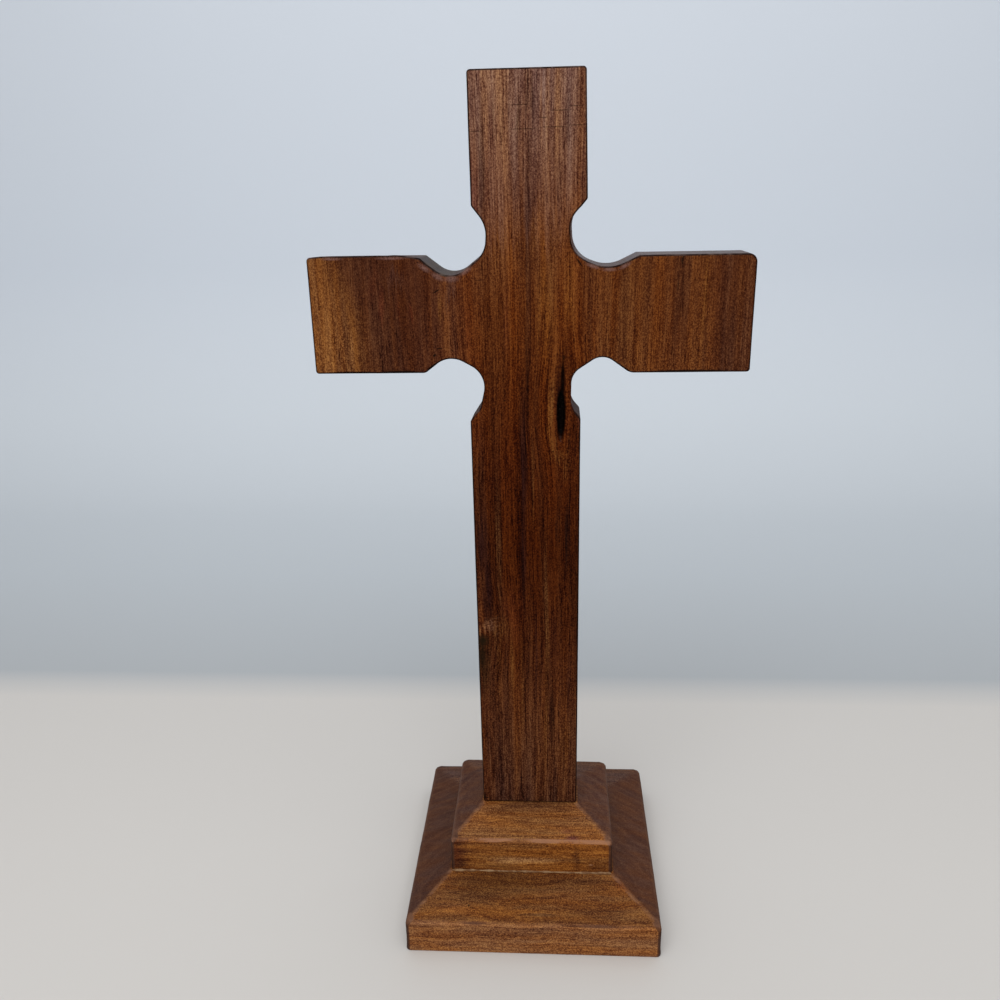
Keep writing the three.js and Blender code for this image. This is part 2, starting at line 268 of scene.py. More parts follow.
def knot_mouth(z):
    """The middle and half width of the hollow at a height."""
    for upper, lower in zip(KNOT_MOUTH, KNOT_MOUTH[1:]):
        if lower[0] * MM <= z <= upper[0] * MM:
            t = (z / MM - lower[0]) / (upper[0] - lower[0])
            middle = lower[1] + t * (upper[1] - lower[1])
            return middle * MM, (lower[2] + t * (upper[2] - lower[2])) * MM
    return KNOT_MOUTH[0][1] * MM, 0


def round_knot(centre):
    """Whether a face belongs to the board's front near the knot."""
    beside = KNOT_LEFT - KNOT_MARGIN < centre.x < KNOT_RIGHT + KNOT_MARGIN
    level = KNOT_BOTTOM - KNOT_MARGIN < centre.z < KNOT_TOP + KNOT_MARGIN
    return beside and level and centre.y < -BOARD_HALF + KNOT_MARGIN


cut_evenly(board, 0, KNOT_LEFT, KNOT_RIGHT, KNOT_STEP, round_knot)
cut_evenly(board, 2, KNOT_BOTTOM, KNOT_TOP, KNOT_STEP, round_knot)
for vert in board.verts:
    middle, half = knot_mouth(vert.co.z)
    if vert.co.y > -BOARD_HALF + KNOT_MARGIN or half == 0:
        continue
    rough = 1 + KNOT_ROUGHNESS * noise.noise(vert.co / KNOT_GRIT)
    inside = smooth_share(1, 1 - KNOT_WALL, abs(vert.co.x - middle) / (half * rough))
    depth = min(KNOT_DEPTH, KNOT_STEEPNESS * half)
    vert.co.y += depth * inside * (0.8 + 0.2 * noise.noise(vert.co / KNOT_FLOOR_GRIT))

# The screws that the pieces are drilled for: place, length, and how high the hole is wide.
SCREW_X = {"foot_screw": -1.7 * MM, "step_screw_left": -23.8 * MM, "step_screw_right": 22.2 * MM}
SCREW_LENGTH = {"foot_screw": 63 * MM, "step_screw_left": 31 * MM, "step_screw_right": 31 * MM}
SCREW_CLEAR_TO = {"foot_screw": 28 * MM, "step_screw_left": 19 * MM, "step_screw_right": 19 * MM}
SCREW_SINK = 0.6 * MM
SHANK_HOLE = 2.4 * MM
PILOT_HOLE = 1.8 * MM
HEAD_HOLE = 4.4 * MM
HEAD_HOLE_RIM = 0.6 * MM
COUNTERSINK = 2.7 * MM
HOLE_SPARE = 1 * MM
HOLE_SIDES = 40


def turn(bm, profile, x, sides):
    """Spins a [radius, height] profile into a closed form round the upright axis at x."""
    verts = [bm.verts.new((x + radius, 0, height)) for radius, height in profile]
    edges = [bm.edges.new(pair) for pair in zip(verts, verts[1:])]
    bmesh.ops.spin(
        bm,
        geom=verts + edges,
        cent=(x, 0, 0),
        axis=(0, 0, 1),
        dvec=(0, 0, 0),
        angle=2 * math.pi,
        steps=sides,
        use_merge=True,
    )
    bmesh.ops.remove_doubles(bm, verts=bm.verts[:], dist=MERGE)
    bmesh.ops.recalc_face_normals(bm, faces=bm.faces[:])


def new_piece(name, bm, node_name):
    """Puts a finished form in the scene, in place of the node it stands for."""
    for face in bm.faces:
        face.smooth = True
    mesh = bpy.data.meshes.new(name)
    bm.to_mesh(mesh)
    bm.free()
    mesh.set_sharp_from_angle(angle=SMOOTH_ANGLE)
    piece = bpy.data.objects.new(name, mesh)
    scene.collection.objects.link(piece)
    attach(piece, "root")
    if node_name:
        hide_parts(node_name)
    return piece


def take_out(piece, tool):
    """Cuts the closed form tool out of the piece, and frees it."""
    tool_mesh = bpy.data.meshes.new("tool")
    tool.to_mesh(tool_mesh)
    tool.free()
    tool_object = bpy.data.objects.new("tool", tool_mesh)
    scene.collection.objects.link(tool_object)
    cutter = piece.modifiers.new("cut", "BOOLEAN")
    cutter.operation = "DIFFERENCE"
    cutter.solver = "EXACT"
    cutter.object = tool_object
    seen = piece.evaluated_get(bpy.context.evaluated_depsgraph_get())
    cleaned = bpy.data.meshes.new_from_object(seen)
    piece.modifiers.clear()
    piece.data = cleaned
    bpy.data.objects.remove(tool_object)


def drill(piece, screw):
    """The hole for one screw: countersink, clearance hole, then pilot hole."""
    end = SCREW_SINK + SCREW_LENGTH[screw] + HOLE_SPARE
    tool = bmesh.new()
    profile = [
        (0, -HOLE_SPARE),
        (HEAD_HOLE, -HOLE_SPARE),
        (HEAD_HOLE, SCREW_SINK + HEAD_HOLE_RIM),
        (SHANK_HOLE, SCREW_SINK + COUNTERSINK),
        (SHANK_HOLE, SCREW_CLEAR_TO[screw]),
        (PILOT_HOLE, SCREW_CLEAR_TO[screw]),
        (PILOT_HOLE, end),
        (0, end),
    ]
    turn(tool, profile, SCREW_X[screw], HOLE_SIDES)
    take_out(piece, tool)


cross_board = new_piece("cross_board", board, "cross")
drill(cross_board, "foot_screw")

# The wood's look, for the board and the base: streaks, fibres and pores that run through
# the whole thickness, so that a side or an end shows them as the saw left them. Positions
# are in millimetres with the grain along Z, and every value lies between 0 and 1.


def feed(tree, socket, value):
    """Sets a socket, or joins it to another node's output."""
    if isinstance(value, bpy.types.NodeSocket):
        tree.links.new(value, socket)
    else:
        socket.default_value = value


def give(tree, node, values):
    """Sets a node's named inputs, or joins them to other nodes' outputs."""
    for name, value in values.items():
        feed(tree, node.inputs[name], value)


def add(tree, kind, *values, **settings):
    """Adds a node, with its settings and the values of its first sockets."""
    made = tree.nodes.new("ShaderNode" + kind)
    for name, setting in settings.items():
        setattr(made, name, setting)
    for socket, value in zip(made.inputs, values):
        feed(tree, socket, value)
    return made


def maths(tree, operation, first, second=0.0):
    return add(tree, "Math", first, second, operation=operation).outputs[0]


def plus(tree, first, second):
    return maths(tree, "ADD", first, second)


def minus(tree, first, second):
    return maths(tree, "SUBTRACT", first, second)


def times(tree, first, second):
    return maths(tree, "MULTIPLY", first, second)


def vectors(tree, operation, first, second=(0, 0, 0)):
    made = add(tree, "VectorMath", first, second, operation=operation)
    return made.outputs["Value" if operation in ("LENGTH", "DOT_PRODUCT") else "Vector"]


def ease(tree, value, low, high, at_low=0.0, at_high=1.0):
    """Rises smoothly from one value to another as the given value goes from low to high."""
    made = add(tree, "MapRange", value, low, high, at_low, at_high, interpolation_type="SMOOTHSTEP")
    return made.outputs["Result"]


def noise_at(tree, position, fineness, detail=2.0, roughness=0.5):
    """Noise that is stretched by its fineness, in features per millimetre."""
    scaled = vectors(tree, "MULTIPLY", position, fineness)
    made = add(tree, "TexNoise")
    give(tree, made, {"Vector": scaled, "Scale": 1.0, "Detail": detail, "Roughness": roughness})
    return made


def mixed(tree, share, first, second, way="MIX"):
    """One colour laid over another."""
    made = add(tree, "Mix", data_type="RGBA", blend_type=way)
    feed(tree, made.inputs["Factor"], share)
    feed(tree, made.inputs[6], first)
    feed(tree, made.inputs[7], second)
    return made.outputs[2]


SOCKET_KINDS = {float: "NodeSocketFloat", tuple: "NodeSocketVector", str: "NodeSocketColor"}


def new_group(name, inputs, outputs):
    """A node group with sockets of the kinds of their first values; a str means a colour."""
    tree = bpy.data.node_groups.new(name, "ShaderNodeTree")
    for socket, value in inputs.items():
        made = tree.interface.new_socket(socket, in_out="INPUT", socket_type=SOCKET_KINDS[type(value)])
        if not isinstance(value, str):
            made.default_value = value
    for socket, value in outputs.items():
        tree.interface.new_socket(socket, in_out="OUTPUT", socket_type=SOCKET_KINDS[type(value)])
    given = tree.nodes.new("NodeGroupInput").outputs
    result = tree.nodes.new("NodeGroupOutput").inputs
    return tree, given, result


def use(tree, group, **values):
    """Places a group in a tree."""
    made = tree.nodes.new("ShaderNodeGroup")
    made.node_tree = group
    give(tree, made, values)
    return made.outputs


figure, given, result = new_group(
    "wood figure",
    {
        "Position": (0.0, 0.0, 0.0),
        "Pith": (0.0, 0.0, 0.0),
        "Spacing": 2.5,
        "Sway": 1.5,
        "Shortness": 1.0,
    },
    {
        "Rings": 0.0,
        "Lines": 0.0,
        "Streaks": 0.0,
        "Fibres": 0.0,
        "Pores": 0.0,
        "Speckle": 0.0,
        "Tint": 0.0,
    },
)
shorten = add(figure, "CombineXYZ", 1.0, 1.0, given["Shortness"]).outputs[0]
run = vectors(figure, "MULTIPLY", given["Position"], shorten)
sway = noise_at(figure, run, (0.03, 0.03, 0.012), 1.0).outputs["Color"]
sway = vectors(figure, "SUBTRACT", sway, (0.5, 0.5, 0.5))
sway_size = add(figure, "CombineXYZ", given["Sway"], given["Sway"], 0.0).outputs[0]
grown = vectors(figure, "ADD", run, vectors(figure, "MULTIPLY", sway, sway_size))
from_pith = vectors(figure, "SUBTRACT", grown, given["Pith"])
radius = vectors(figure, "LENGTH", vectors(figure, "MULTIPLY", from_pith, (1, 1, 0)))
years = maths(figure, "DIVIDE", radius, given["Spacing"])
drift = noise_at(figure, grown, (0.25, 0.25, 0.01), 2.0).outputs["Fac"]
years = plus(figure, years, times(figure, drift, 0.8))
ring_noise = add(figure, "TexNoise", noise_dimensions="1D")
give(figure, ring_noise, {"W": years, "Scale": 1.0, "Detail": 4.0, "Roughness": 0.62})
feed(figure, result["Rings"], ring_noise.outputs["Fac"])
season = maths(figure, "FRACT", years)
late = ease(figure, season, 0.62, 0.94)
feed(figure, result["Lines"], times(figure, late, ease(figure, season, 1.0, 0.95)))
streaks = noise_at(figure, grown, (0.5, 0.5, 0.009), 4.0, 0.75).outputs["Fac"]
feed(figure, result["Streaks"], streaks)
fibres = noise_at(figure, grown, (2.6, 2.6, 0.06), 2.0, 0.7).outputs["Fac"]
feed(figure, result["Fibres"], fibres)
cells = add(figure, "TexVoronoi")
cell_place = vectors(figure, "MULTIPLY", grown, (1.5, 1.5, 0.16))
give(figure, cells, {"Vector": cell_place, "Scale": 1.0})
pore = ease(figure, cells.outputs["Distance"], 0.32, 0.16)
chance = add(figure, "SeparateColor", cells.outputs["Color"]).outputs[0]
feed(figure, result["Pores"], times(figure, pore, ease(figure, chance, 0.35, 0.75)))
speckle = noise_at(figure, given["Position"], (2.8, 2.8, 1.9), 1.0, 0.8).outputs["Fac"]
feed(figure, result["Speckle"], speckle)
feed(figure, result["Tint"], noise_at(figure, grown, (0.22, 0.22, 0.011), 2.0, 0.55).outputs["Fac"])

# Oil and light on that figure, counted in stops. Where the saw went across the fibres, the
# ends drink more oil and the streaks are weaker; where it follows them they show in full.
oiled, given, result = new_group(
    "oiled wood",
    {
        "Tone": "colour",
        "Rings": 0.5,
        "Lines": 0.0,
        "Streaks": 0.5,
        "Fibres": 0.5,
        "Pores": 0.0,
        "Speckle": 0.5,
        "Tint": 0.5,
        "Across": 0.0,
        "Contrast": 1.0,
    },
    {"Colour": "colour", "Roughness": 0.5, "Height": 0.0},
)
RING_STOPS = 1.1
STREAK_STOPS = 3.5
FIBRE_STOPS = 4.6
SPECKLE_STOPS = 4.9
PORE_STOPS = -1.0
LINE_STOPS = 0.25
DARK_BIAS = 0.2  # the dark side of the contrast is stronger than the light side
GREEN_GAIN = 1.3  # darker wood is also redder: green and blue swing more than red
BLUE_GAIN = 1.25
ORANGE_TINT = (1.10, 0.97, 0.80, 1)
PURPLE_TINT = (0.93, 0.97, 1.22, 1)


def centred(tree, value, stops):
    """A value round a half as a gain in stops."""
    return times(tree, minus(tree, value, 0.5), stops)


def swung(tree, value, share):
    """A value round a half, with its swing made wider or narrower."""
    return plus(tree, centred(tree, value, share), 0.5)


with_grain = ease(oiled, given["Across"], 1.0, 0.0, 0.5, 1.0)
stops = centred(oiled, given["Streaks"], STREAK_STOPS)
stops = plus(oiled, stops, centred(oiled, given["Fibres"], FIBRE_STOPS))
stops = plus(oiled, stops, centred(oiled, given["Speckle"], SPECKLE_STOPS))
stops = plus(oiled, stops, times(oiled, given["Pores"], PORE_STOPS))
stops = times(oiled, stops, with_grain)
stops = plus(oiled, stops, centred(oiled, given["Rings"], RING_STOPS))
stops = plus(oiled, stops, times(oiled, given["Lines"], LINE_STOPS))
stops = times(oiled, stops, given["Contrast"])
bias = times(oiled, times(oiled, stops, stops), DARK_BIAS)
stops = minus(oiled, stops, bias)
gain = add(
    oiled,
    "CombineColor",
    maths(oiled, "POWER", 2.0, stops),
    maths(oiled, "POWER", 2.0, times(oiled, stops, GREEN_GAIN)),
    maths(oiled, "POWER", 2.0, times(oiled, stops, BLUE_GAIN)),
).outputs[0]
shaded = mixed(oiled, 1.0, given["Tone"], gain, "MULTIPLY")
tint = mixed(oiled, ease(oiled, given["Tint"], 0.3, 0.7), PURPLE_TINT, ORANGE_TINT)
feed(oiled, result["Colour"], mixed(oiled, 1.0, shaded, tint, "MULTIPLY"))
rough = plus(oiled, 0.5, times(oiled, given["Pores"], 0.2))
rough = plus(oiled, rough, centred(oiled, given["Streaks"], -0.25))
feed(oiled, result["Roughness"], plus(oiled, rough, times(oiled, given["Across"], 0.1)))
height = plus(oiled, centred(oiled, given["Fibres"], 0.5), centred(oiled, given["Speckle"], 0.35))
feed(oiled, result["Height"], minus(oiled, height, times(oiled, given["Pores"], 0.7)))

# A soft-edged patch of another tone, such as a dark streak or a knot.
patch, given, result = new_group(
    "patch",
    {
        "Position": (0.0, 0.0, 0.0),
        "Centre": (0.0, 0.0, 0.0),
        "Reach": (1.0, 1.0, 1.0),
        "Softness": 0.5,
        "Strength": 1.0,
    },
    {"Share": 0.0},
)
offset = vectors(patch, "SUBTRACT", given["Position"], given["Centre"])
distance = vectors(patch, "LENGTH", vectors(patch, "DIVIDE", offset, given["Reach"]))
core = minus(patch, 1.0, given["Softness"])
feed(patch, result["Share"], ease(patch, distance, 1.0, core, 0.0, given["Strength"]))


def covered(tree, place, centre, reach, softness, strength):
    """How strongly a patch covers the place, from 0 to its strength."""
    return use(
        tree,
        patch,
        Position=place,
        Centre=tuple(float(x) for x in centre),
        Reach=tuple(float(x) for x in reach),
        Softness=softness,
        Strength=strength,
    )["Share"]


def new_material(name):
    material = bpy.data.materials.new(name)
    material.use_nodes = True
    tree = material.node_tree
    shader = tree.nodes["Principled BSDF"]
    return material, tree, shader


def dress(piece, material):
    """Gives a piece its one material."""
    piece.data.materials.clear()
    piece.data.materials.append(material)


GRAIN_DEPTH = 0.12 * MM
GRAIN_STRENGTH = 0.5


def raise_grain(tree, shader, height, strength=GRAIN_STRENGTH, depth=GRAIN_DEPTH):
    """Turns a height into fine relief that goes this deep."""
    relief = add(tree, "Bump")
    give(tree, relief, {"Strength": strength, "Distance": depth, "Height": height})
    feed(tree, shader.inputs["Normal"], relief.outputs["Normal"])


def tone_ramp(tree, value, stops):
    """A colour that changes with a value, between the [value, colour] stops."""
    low = stops[0][0]
    span = stops[-1][0] - low
    ramp = add(tree, "ValToRGB", maths(tree, "DIVIDE", minus(tree, value, low), span))
    elements = ramp.color_ramp.elements
    while len(elements) < len(stops):
        elements.new(1.0)
    for element, (at, colour) in zip(elements, stops):
        element.position = (at - low) / span
        element.color = (*colour, 1)
    return ramp.outputs["Color"]


# The board's colours, by height on the upright and by distance out along the arms.
UPRIGHT_TONES = [
    (38, (0.073, 0.0252, 0.0116)),
    (60, (0.084, 0.0266, 0.0094)),
    (90, (0.074, 0.0205, 0.0062)),
    (110, (0.054, 0.0128, 0.0033)),
    (150, (0.042, 0.0081, 0.0015)),
    (185, (0.051, 0.0099, 0.0019)),
    (212, (0.070, 0.0152, 0.0028)),
    (238, (0.104, 0.0258, 0.0048)),
    # From about here up, the head's tone turns paler and greyer: that is a painted sheen.
    (258, (0.124, 0.037, 0.0095)),
    (275, (0.138, 0.053, 0.0255)),
    (300, (0.171, 0.080, 0.0470)),
    (312, (0.171, 0.082, 0.0510)),
]
ARM_TONES = [
    (-75, (0.155, 0.058, 0.0180)),
    (-66, (0.165, 0.061, 0.0175)),
    (-60, (0.124, 0.043, 0.0120)),
    (-55, (0.077, 0.0240, 0.0085)),
    (-47, (0.060, 0.0175, 0.0066)),
    (-40, (0.058, 0.0160, 0.0060)),
    (-34, (0.070, 0.0195, 0.0068)),
    (-28, (0.088, 0.0272, 0.0098)),
    (-16, (0.094, 0.0255, 0.0080)),
    (16, (0.110, 0.0300, 0.0070)),
    (32, (0.110, 0.0325, 0.0077)),
    (44, (0.107, 0.0310, 0.0078)),
    (51, (0.088, 0.0250, 0.0072)),
    (57, (0.117, 0.0370, 0.0100)),
    (62, (0.078, 0.0230, 0.0080)),
    (70, (0.075, 0.0232, 0.0086)),
    (75, (0.092, 0.0290, 0.0100)),
]
PURPLE = (0.022, 0.0058, 0.0042, 1)
PLUM = (0.015, 0.0036, 0.0026, 1)
RED = (0.125, 0.0230, 0.0080, 1)
SCUFFED = (0.170, 0.086, 0.0680, 1)
DARK = (0.016, 0.0042, 0.0020, 1)
GOLDEN = (0.150, 0.052, 0.0110, 1)
LIGHT = (0.100, 0.034, 0.0090, 1)
GREY_PURPLE = (0.075, 0.034, 0.0240, 1)
RED_PURPLE = (0.110, 0.038, 0.0260, 1)
ORANGE = (0.210, 0.078, 0.0270, 1)
BARK_AND_SHADOW = (0.0035, 0.0018, 0.0012, 1)
GREEN_BLACK = (0.014, 0.0080, 0.0032, 1)
PALE_FIBRE = (0.170, 0.072, 0.0330, 1)
HEAD_SHEEN_BROWN = (0.150, 0.0620, 0.0360, 1)
GREY_BROWN = (0.058, 0.031, 0.0250, 1)
REFLECTED_GREY_GREEN = (0.078, 0.072, 0.0610, 1)
DUSK = (0.058, 0.0235, 0.0165, 1)
STRAW = (0.250, 0.105, 0.0330, 1)
EMBER = (0.085, 0.0190, 0.0060, 1)
SIDE_BROWN = (0.034, 0.0120, 0.0060, 1)

# Streaks and marks of the board's face: middle across and up, half width, half height,
# softness, strength and colour.
FACE_MARKS = [
    (-0.6, 268, 1.8, 12, 0.9, 0.55, GREY_PURPLE),
    (-0.4, 252, 0.9, 44, 0.9, 0.5, PURPLE),
    (-0.5, 303, 0.7, 12, 0.9, 0.55, PURPLE),
    (9.8, 281, 2.6, 15, 0.9, 0.35, GREY_PURPLE),
    (4.4, 300, 1.4, 16, 0.9, 0.55, ORANGE),
    (2.8, 262, 1.4, 14, 0.9, 0.45, ORANGE),
    # A broad patch of painted sheen on the head.
    (-10.5, 286, 5.5, 30, 0.95, 0.5, HEAD_SHEEN_BROWN),
    (-17.8, 272, 2.2, 24, 0.9, 0.6, RED_PURPLE),
    (1.2, 300, 0.9, 12, 0.9, 0.6, PURPLE),
    (-0.2, 284, 1.0, 12, 0.9, 0.45, PURPLE),
    (-14.5, 285, 1.0, 26, 0.9, 0.4, DARK),
    (15.0, 268, 1.4, 12, 0.9, 0.4, ORANGE),
    (-10.4, 302, 0.45, 10, 0.9, 0.6, DARK),
    (-5.6, 303, 0.4, 9, 0.9, 0.55, DARK),
    (-3.0, 298, 0.4, 9, 0.9, 0.55, DARK),
    (-7.9, 298, 0.35, 8, 0.9, 0.5, DARK),
    (12.5, 296, 1.3, 12, 0.9, 0.35, PURPLE),
    (5.5, 240, 4.5, 26, 0.9, 0.5, GOLDEN),
    (14, 243, 3.5, 20, 0.9, 0.4, GOLDEN),
    (-1.2, 216, 1.0, 26, 0.9, 0.65, DARK),
    (-3.4, 146, 1.8, 32, 0.8, 0.95, PLUM),
    (-2.7, 184, 2.1, 32, 0.8, 0.85, PLUM),
    (-16.4, 134, 2.4, 24, 0.8, 0.85, PLUM),
    (-18.6, 156, 3.6, 17, 0.8, 0.85, PLUM),
    (-19.0, 176, 2.4, 16, 0.9, 0.5, DARK),
    (-8.0, 122, 6.5, 15, 0.95, 0.45, EMBER),
    (-19.0, 100, 4.2, 20, 0.9, 0.6, GREEN_BLACK),
    (12.7, 154, 1.3, 20, 0.8, 0.95, DARK),
    (9.6, 160, 0.8, 14, 0.9, 0.6, DARK),
    (17.0, 130, 2.4, 56, 0.9, 0.6, DARK),
    (8.6, 112, 2.2, 26, 0.9, 0.45, PURPLE),
    (-12.4, 152, 1.2, 36, 0.9, 0.8, LIGHT),
    (-13.4, 100, 1.3, 30, 0.9, 0.65, LIGHT),
    (-7.6, 104, 1.1, 22, 0.9, 0.65, LIGHT),
    (0.6, 178, 1.0, 26, 0.9, 0.5, LIGHT),
    (5.4, 120, 1.2, 46, 0.9, 0.8, LIGHT),
    (-9.6, 84, 0.9, 20, 0.9, 0.6, DARK),
    (1.4, 108, 1.0, 30, 0.9, 0.6, PURPLE),
    (-4, 92, 0.9, 30, 0.9, 0.5, LIGHT),
    (5.0, 70, 0.9, 26, 0.9, 0.55, LIGHT),
    (7.2, 78, 1.1, 20, 0.9, 0.85, DARK),
    (13.6, 92, 1.2, 24, 0.9, 0.5, PURPLE),
    (12.5, 66, 2.6, 14, 0.9, 0.4, LIGHT),
    (-18.6, 60, 1.5, 14, 0.9, 0.5, PURPLE),
    (49.8, 249.5, 0.9, 3.0, 0.9, 0.85, BARK_AND_SHADOW),
    (50.6, 241, 1.2, 12, 0.95, 0.3, DARK),
    (57.8, 238, 1.1, 20, 0.9, 0.6, GOLDEN),
    (66, 228, 5, 16, 0.9, 0.35, PURPLE),
    (-30.0, 241, 0.9, 7, 0.9, 0.7, GOLDEN),
    (-26.4, 245, 2.4, 6, 0.9, 0.55, GREY_PURPLE),
    (-40.0, 237.6, 1.2, 4.5, 0.9, 0.45, RED),
    (-50.5, 238, 1.4, 8, 0.95, 0.35, RED),
    (-45.0, 235, 1.0, 8, 0.95, 0.3, RED),
    (-44.5, 248.5, 5.0, 6, 0.95, 0.6, DUSK),
    (-52.5, 247, 3.0, 7, 0.95, 0.45, EMBER),
    (-65.0, 225, 0.8, 13, 0.9, 0.6, STRAW),
    (-61.4, 224, 0.6, 10, 0.9, 0.5, STRAW),
    (-68.6, 231, 0.7, 12, 0.9, 0.4, STRAW),
    (-21.0, 232, 1.2, 16, 0.9, 0.45, EMBER),
    (-8.0, 236, 1.3, 18, 0.9, 0.4, EMBER),
    (16.2, 203, 3.0, 8, 0.9, 0.5, RED_PURPLE),
    # Painted contact shadow where the board's foot meets the upper step.
    (-1.7, 37.8, 24, 1.3, 0.9, 0.8, BARK_AND_SHADOW),
]

# Dark lines: nicks where a rasp or a knife slipped, then painted shade along the arms' lower edges
# and in the notches. Middle across and up, half length, half width, and lean in degrees.
NICKS_AND_SHADE_LINES = [
    (-31.3, 244.2, 1.7, 0.35, 30),
    (-31.0, 224.9, 1.3, 0.25, 0),
    (-32.8, 222.6, 0.9, 0.55, 40),
    (-26.6, 224.2, 0.9, 0.25, -50),
    (-71.2, 239.6, 0.4, 0.4, 0),
    (-9.0, 206.4, 0.7, 0.25, 20),
    # From here on, painted shade along the arms' lower edges and in the notches.
    (-45.0, 216.8, 9.5, 0.8, 0),
    (-62.0, 216.8, 12.0, 0.6, 0),
    (54.0, 216.4, 19.0, 0.6, 0),
    (-34.0, 218.4, 2.8, 0.7, 41),
    (-18.6, 217.4, 3.8, 0.5, -46),
    (32.0, 217.7, 3.2, 0.5, -31),
    (-15.4, 265.8, 3.8, 0.4, -55),
    (14.5, 261.5, 4.0, 0.5, -85),
    (16.6, 253.0, 2.2, 0.4, -55),
]

# Scuffs beside the notches and along the left arm's top, where the finish is worn off.
SCUFFS = [
    (-35.0, 251.9, 3.4, 1.3, -33),
    (-30.6, 249.0, 3.2, 1.4, -30),
    (-26.0, 248.2, 3.6, 1.5, 0),
    (-21.2, 250.7, 3.6, 1.2, 33),
    (-66.0, 255.3, 5.0, 0.7, 0),
    (-46.0, 255.2, 7.0, 0.7, 0),
    (31.6, 251.6, 3.2, 0.9, 27),
    (26.5, 250.5, 3.4, 0.9, 0),
    (21.0, 251.7, 3.4, 0.9, -20),
]

# The knots: the pale swirl of grain round the hollow and round a smaller knot that the saw
# grazed on the left edge, the latter's frayed fibres, and the dark bark in both; over the hollow's
# mouth the near-black is bark and painted shade.
KNOT_SWIRLS = [
    (7.0, 203, 1.6, 20, 0.9, 0.4, GOLDEN),
    (7.8, 190, 1.3, 7, 0.9, 0.35, GOLDEN),
    (10.4, 186.5, 3.4, 3.0, 0.9, 0.4, GOLDEN),
    (13.4, 191, 1.1, 7, 0.9, 0.3, LIGHT),
    (12.5, 182, 2.5, 7, 0.9, 0.3, LIGHT),
    (-12.0, 118, 6.0, 8.0, 0.95, 0.6, LIGHT),
    (-16.6, 118.9, 3.6, 3.4, 0.95, 0.75, PALE_FIBRE),
]
FRAYED = [
    (-14.4, 121.8, 3.2, 0.55, 14),
    (-15.2, 120.2, 3.8, 0.6, 10),
    (-13.6, 118.6, 2.8, 0.5, 20),
    (-15.2, 117.0, 2.6, 0.5, 8),
    (-13.2, 115.4, 1.6, 0.4, 25),
]
KNOT_MARKS = [
    (10.6, 207, 2.6, 19, 0.95, 0.75, DARK),
    (11.6, 221.3, 0.9, 1.3, 0.8, 0.7, BARK_AND_SHADOW),
    (11.3, 214, 0.95, 7.5, 0.6, 0.9, BARK_AND_SHADOW),
    # Near-black over the hollow's mouth: bark, and painted shade inside the hollow.
    (10.7, 201.5, 1.9, 11, 0.35, 1.0, BARK_AND_SHADOW),
    (8.0, 188.0, 0.4, 0.6, 0.9, 0.8, BARK_AND_SHADOW),
    (-19.0, 112.5, 3.6, 4.0, 0.9, 0.95, GREEN_BLACK),
    (-19.5, 106.0, 3.0, 9.0, 0.95, 0.7, GREEN_BLACK),
]

# Hairlines that a knife left across the grain: middle across and up, half length.
HAIRLINES = [
    (-1.5, 294.2, 7.0),
    (8.5, 294.6, 6.5),
    (-16.5, 293.8, 3.5),
    (15.5, 295.0, 4.5),
    (-2.5, 301.3, 5.0),
    (10.5, 299.4, 5.2),
    (15.0, 300.6, 4.0),
    (-1.5, 181.5, 2.6),
    (5.0, 297.4, 2.4),
    (-16.8, 247.6, 2.2),
]
HAIRLINE_HALF = 0.28

# Depths in millimetres, as the marks count them.
FACE = -BOARD_HALF / MM
THROUGH = 400  # a reach that goes through the whole board
SHALLOW = 3  # a reach that stays in the face and its eased edge


def in_millimetres(tree):
    """The place on the piece, in millimetres."""
    place = add(tree, "TexCoord").outputs["Object"]
    return vectors(tree, "MULTIPLY", place, (1000, 1000, 1000))


def lay_marks(tree, colour, position, marks, depth):
    """Lays soft patches over a colour, that go this deep into the board from its face."""
    for across, up, half_width, half_height, softness, strength, tone in marks:
        reach = (half_width, depth, half_height)
        share = covered(tree, position, (across, FACE, up), reach, softness, strength)
        colour = mixed(tree, share, colour, tone)
    return colour


def turned_in_plane(tree, place, across, up, lean):
    """The place as seen from a point of the face, along a line that leans by some degrees."""
    shifted = vectors(tree, "SUBTRACT", place, (across, 0, up))
    turner = add(tree, "VectorRotate", shifted, rotation_type="Y_AXIS")
    turner.inputs["Angle"].default_value = math.radians(lean)
    return turner.outputs[0]


# The grain runs round the two knots: middle across and up, reach across and up, and pull.
GRAIN_BENDS = [(10.6, 203, 15.4, 37.4, 0.55), (-20.5, 117, 15.4, 28.6, 0.5)]

material, tree, shader = new_material("cross_wood")
place = in_millimetres(tree)
axes = add(tree, "SeparateXYZ", place).outputs
grain = place
for across, up, reach_across, reach_up, pull in GRAIN_BENDS:
    near = covered(tree, place, (across, FACE, up), (reach_across, 30, reach_up), 1.0, pull)
    aside = vectors(tree, "MULTIPLY", vectors(tree, "SUBTRACT", grain, (across, 0, 0)), (-1, 0, 0))
    share = add(tree, "CombineXYZ", near, 0.0, 0.0).outputs[0]
    grain = vectors(tree, "ADD", grain, vectors(tree, "MULTIPLY", aside, share))
wood = use(tree, figure, Position=grain, Pith=(-95.0, 70.0, 0.0), Spacing=3.4, Sway=4.0)
ragged = minus(tree, wood["Streaks"], 0.5)
ragged_shift = add(tree, "CombineXYZ", times(tree, ragged, 6.0), 0.0, times(tree, ragged, 45.0))
ragged_place = vectors(tree, "ADD", place, ragged_shift.outputs[0])
ragged_axes = add(tree, "SeparateXYZ", ragged_place).outputs
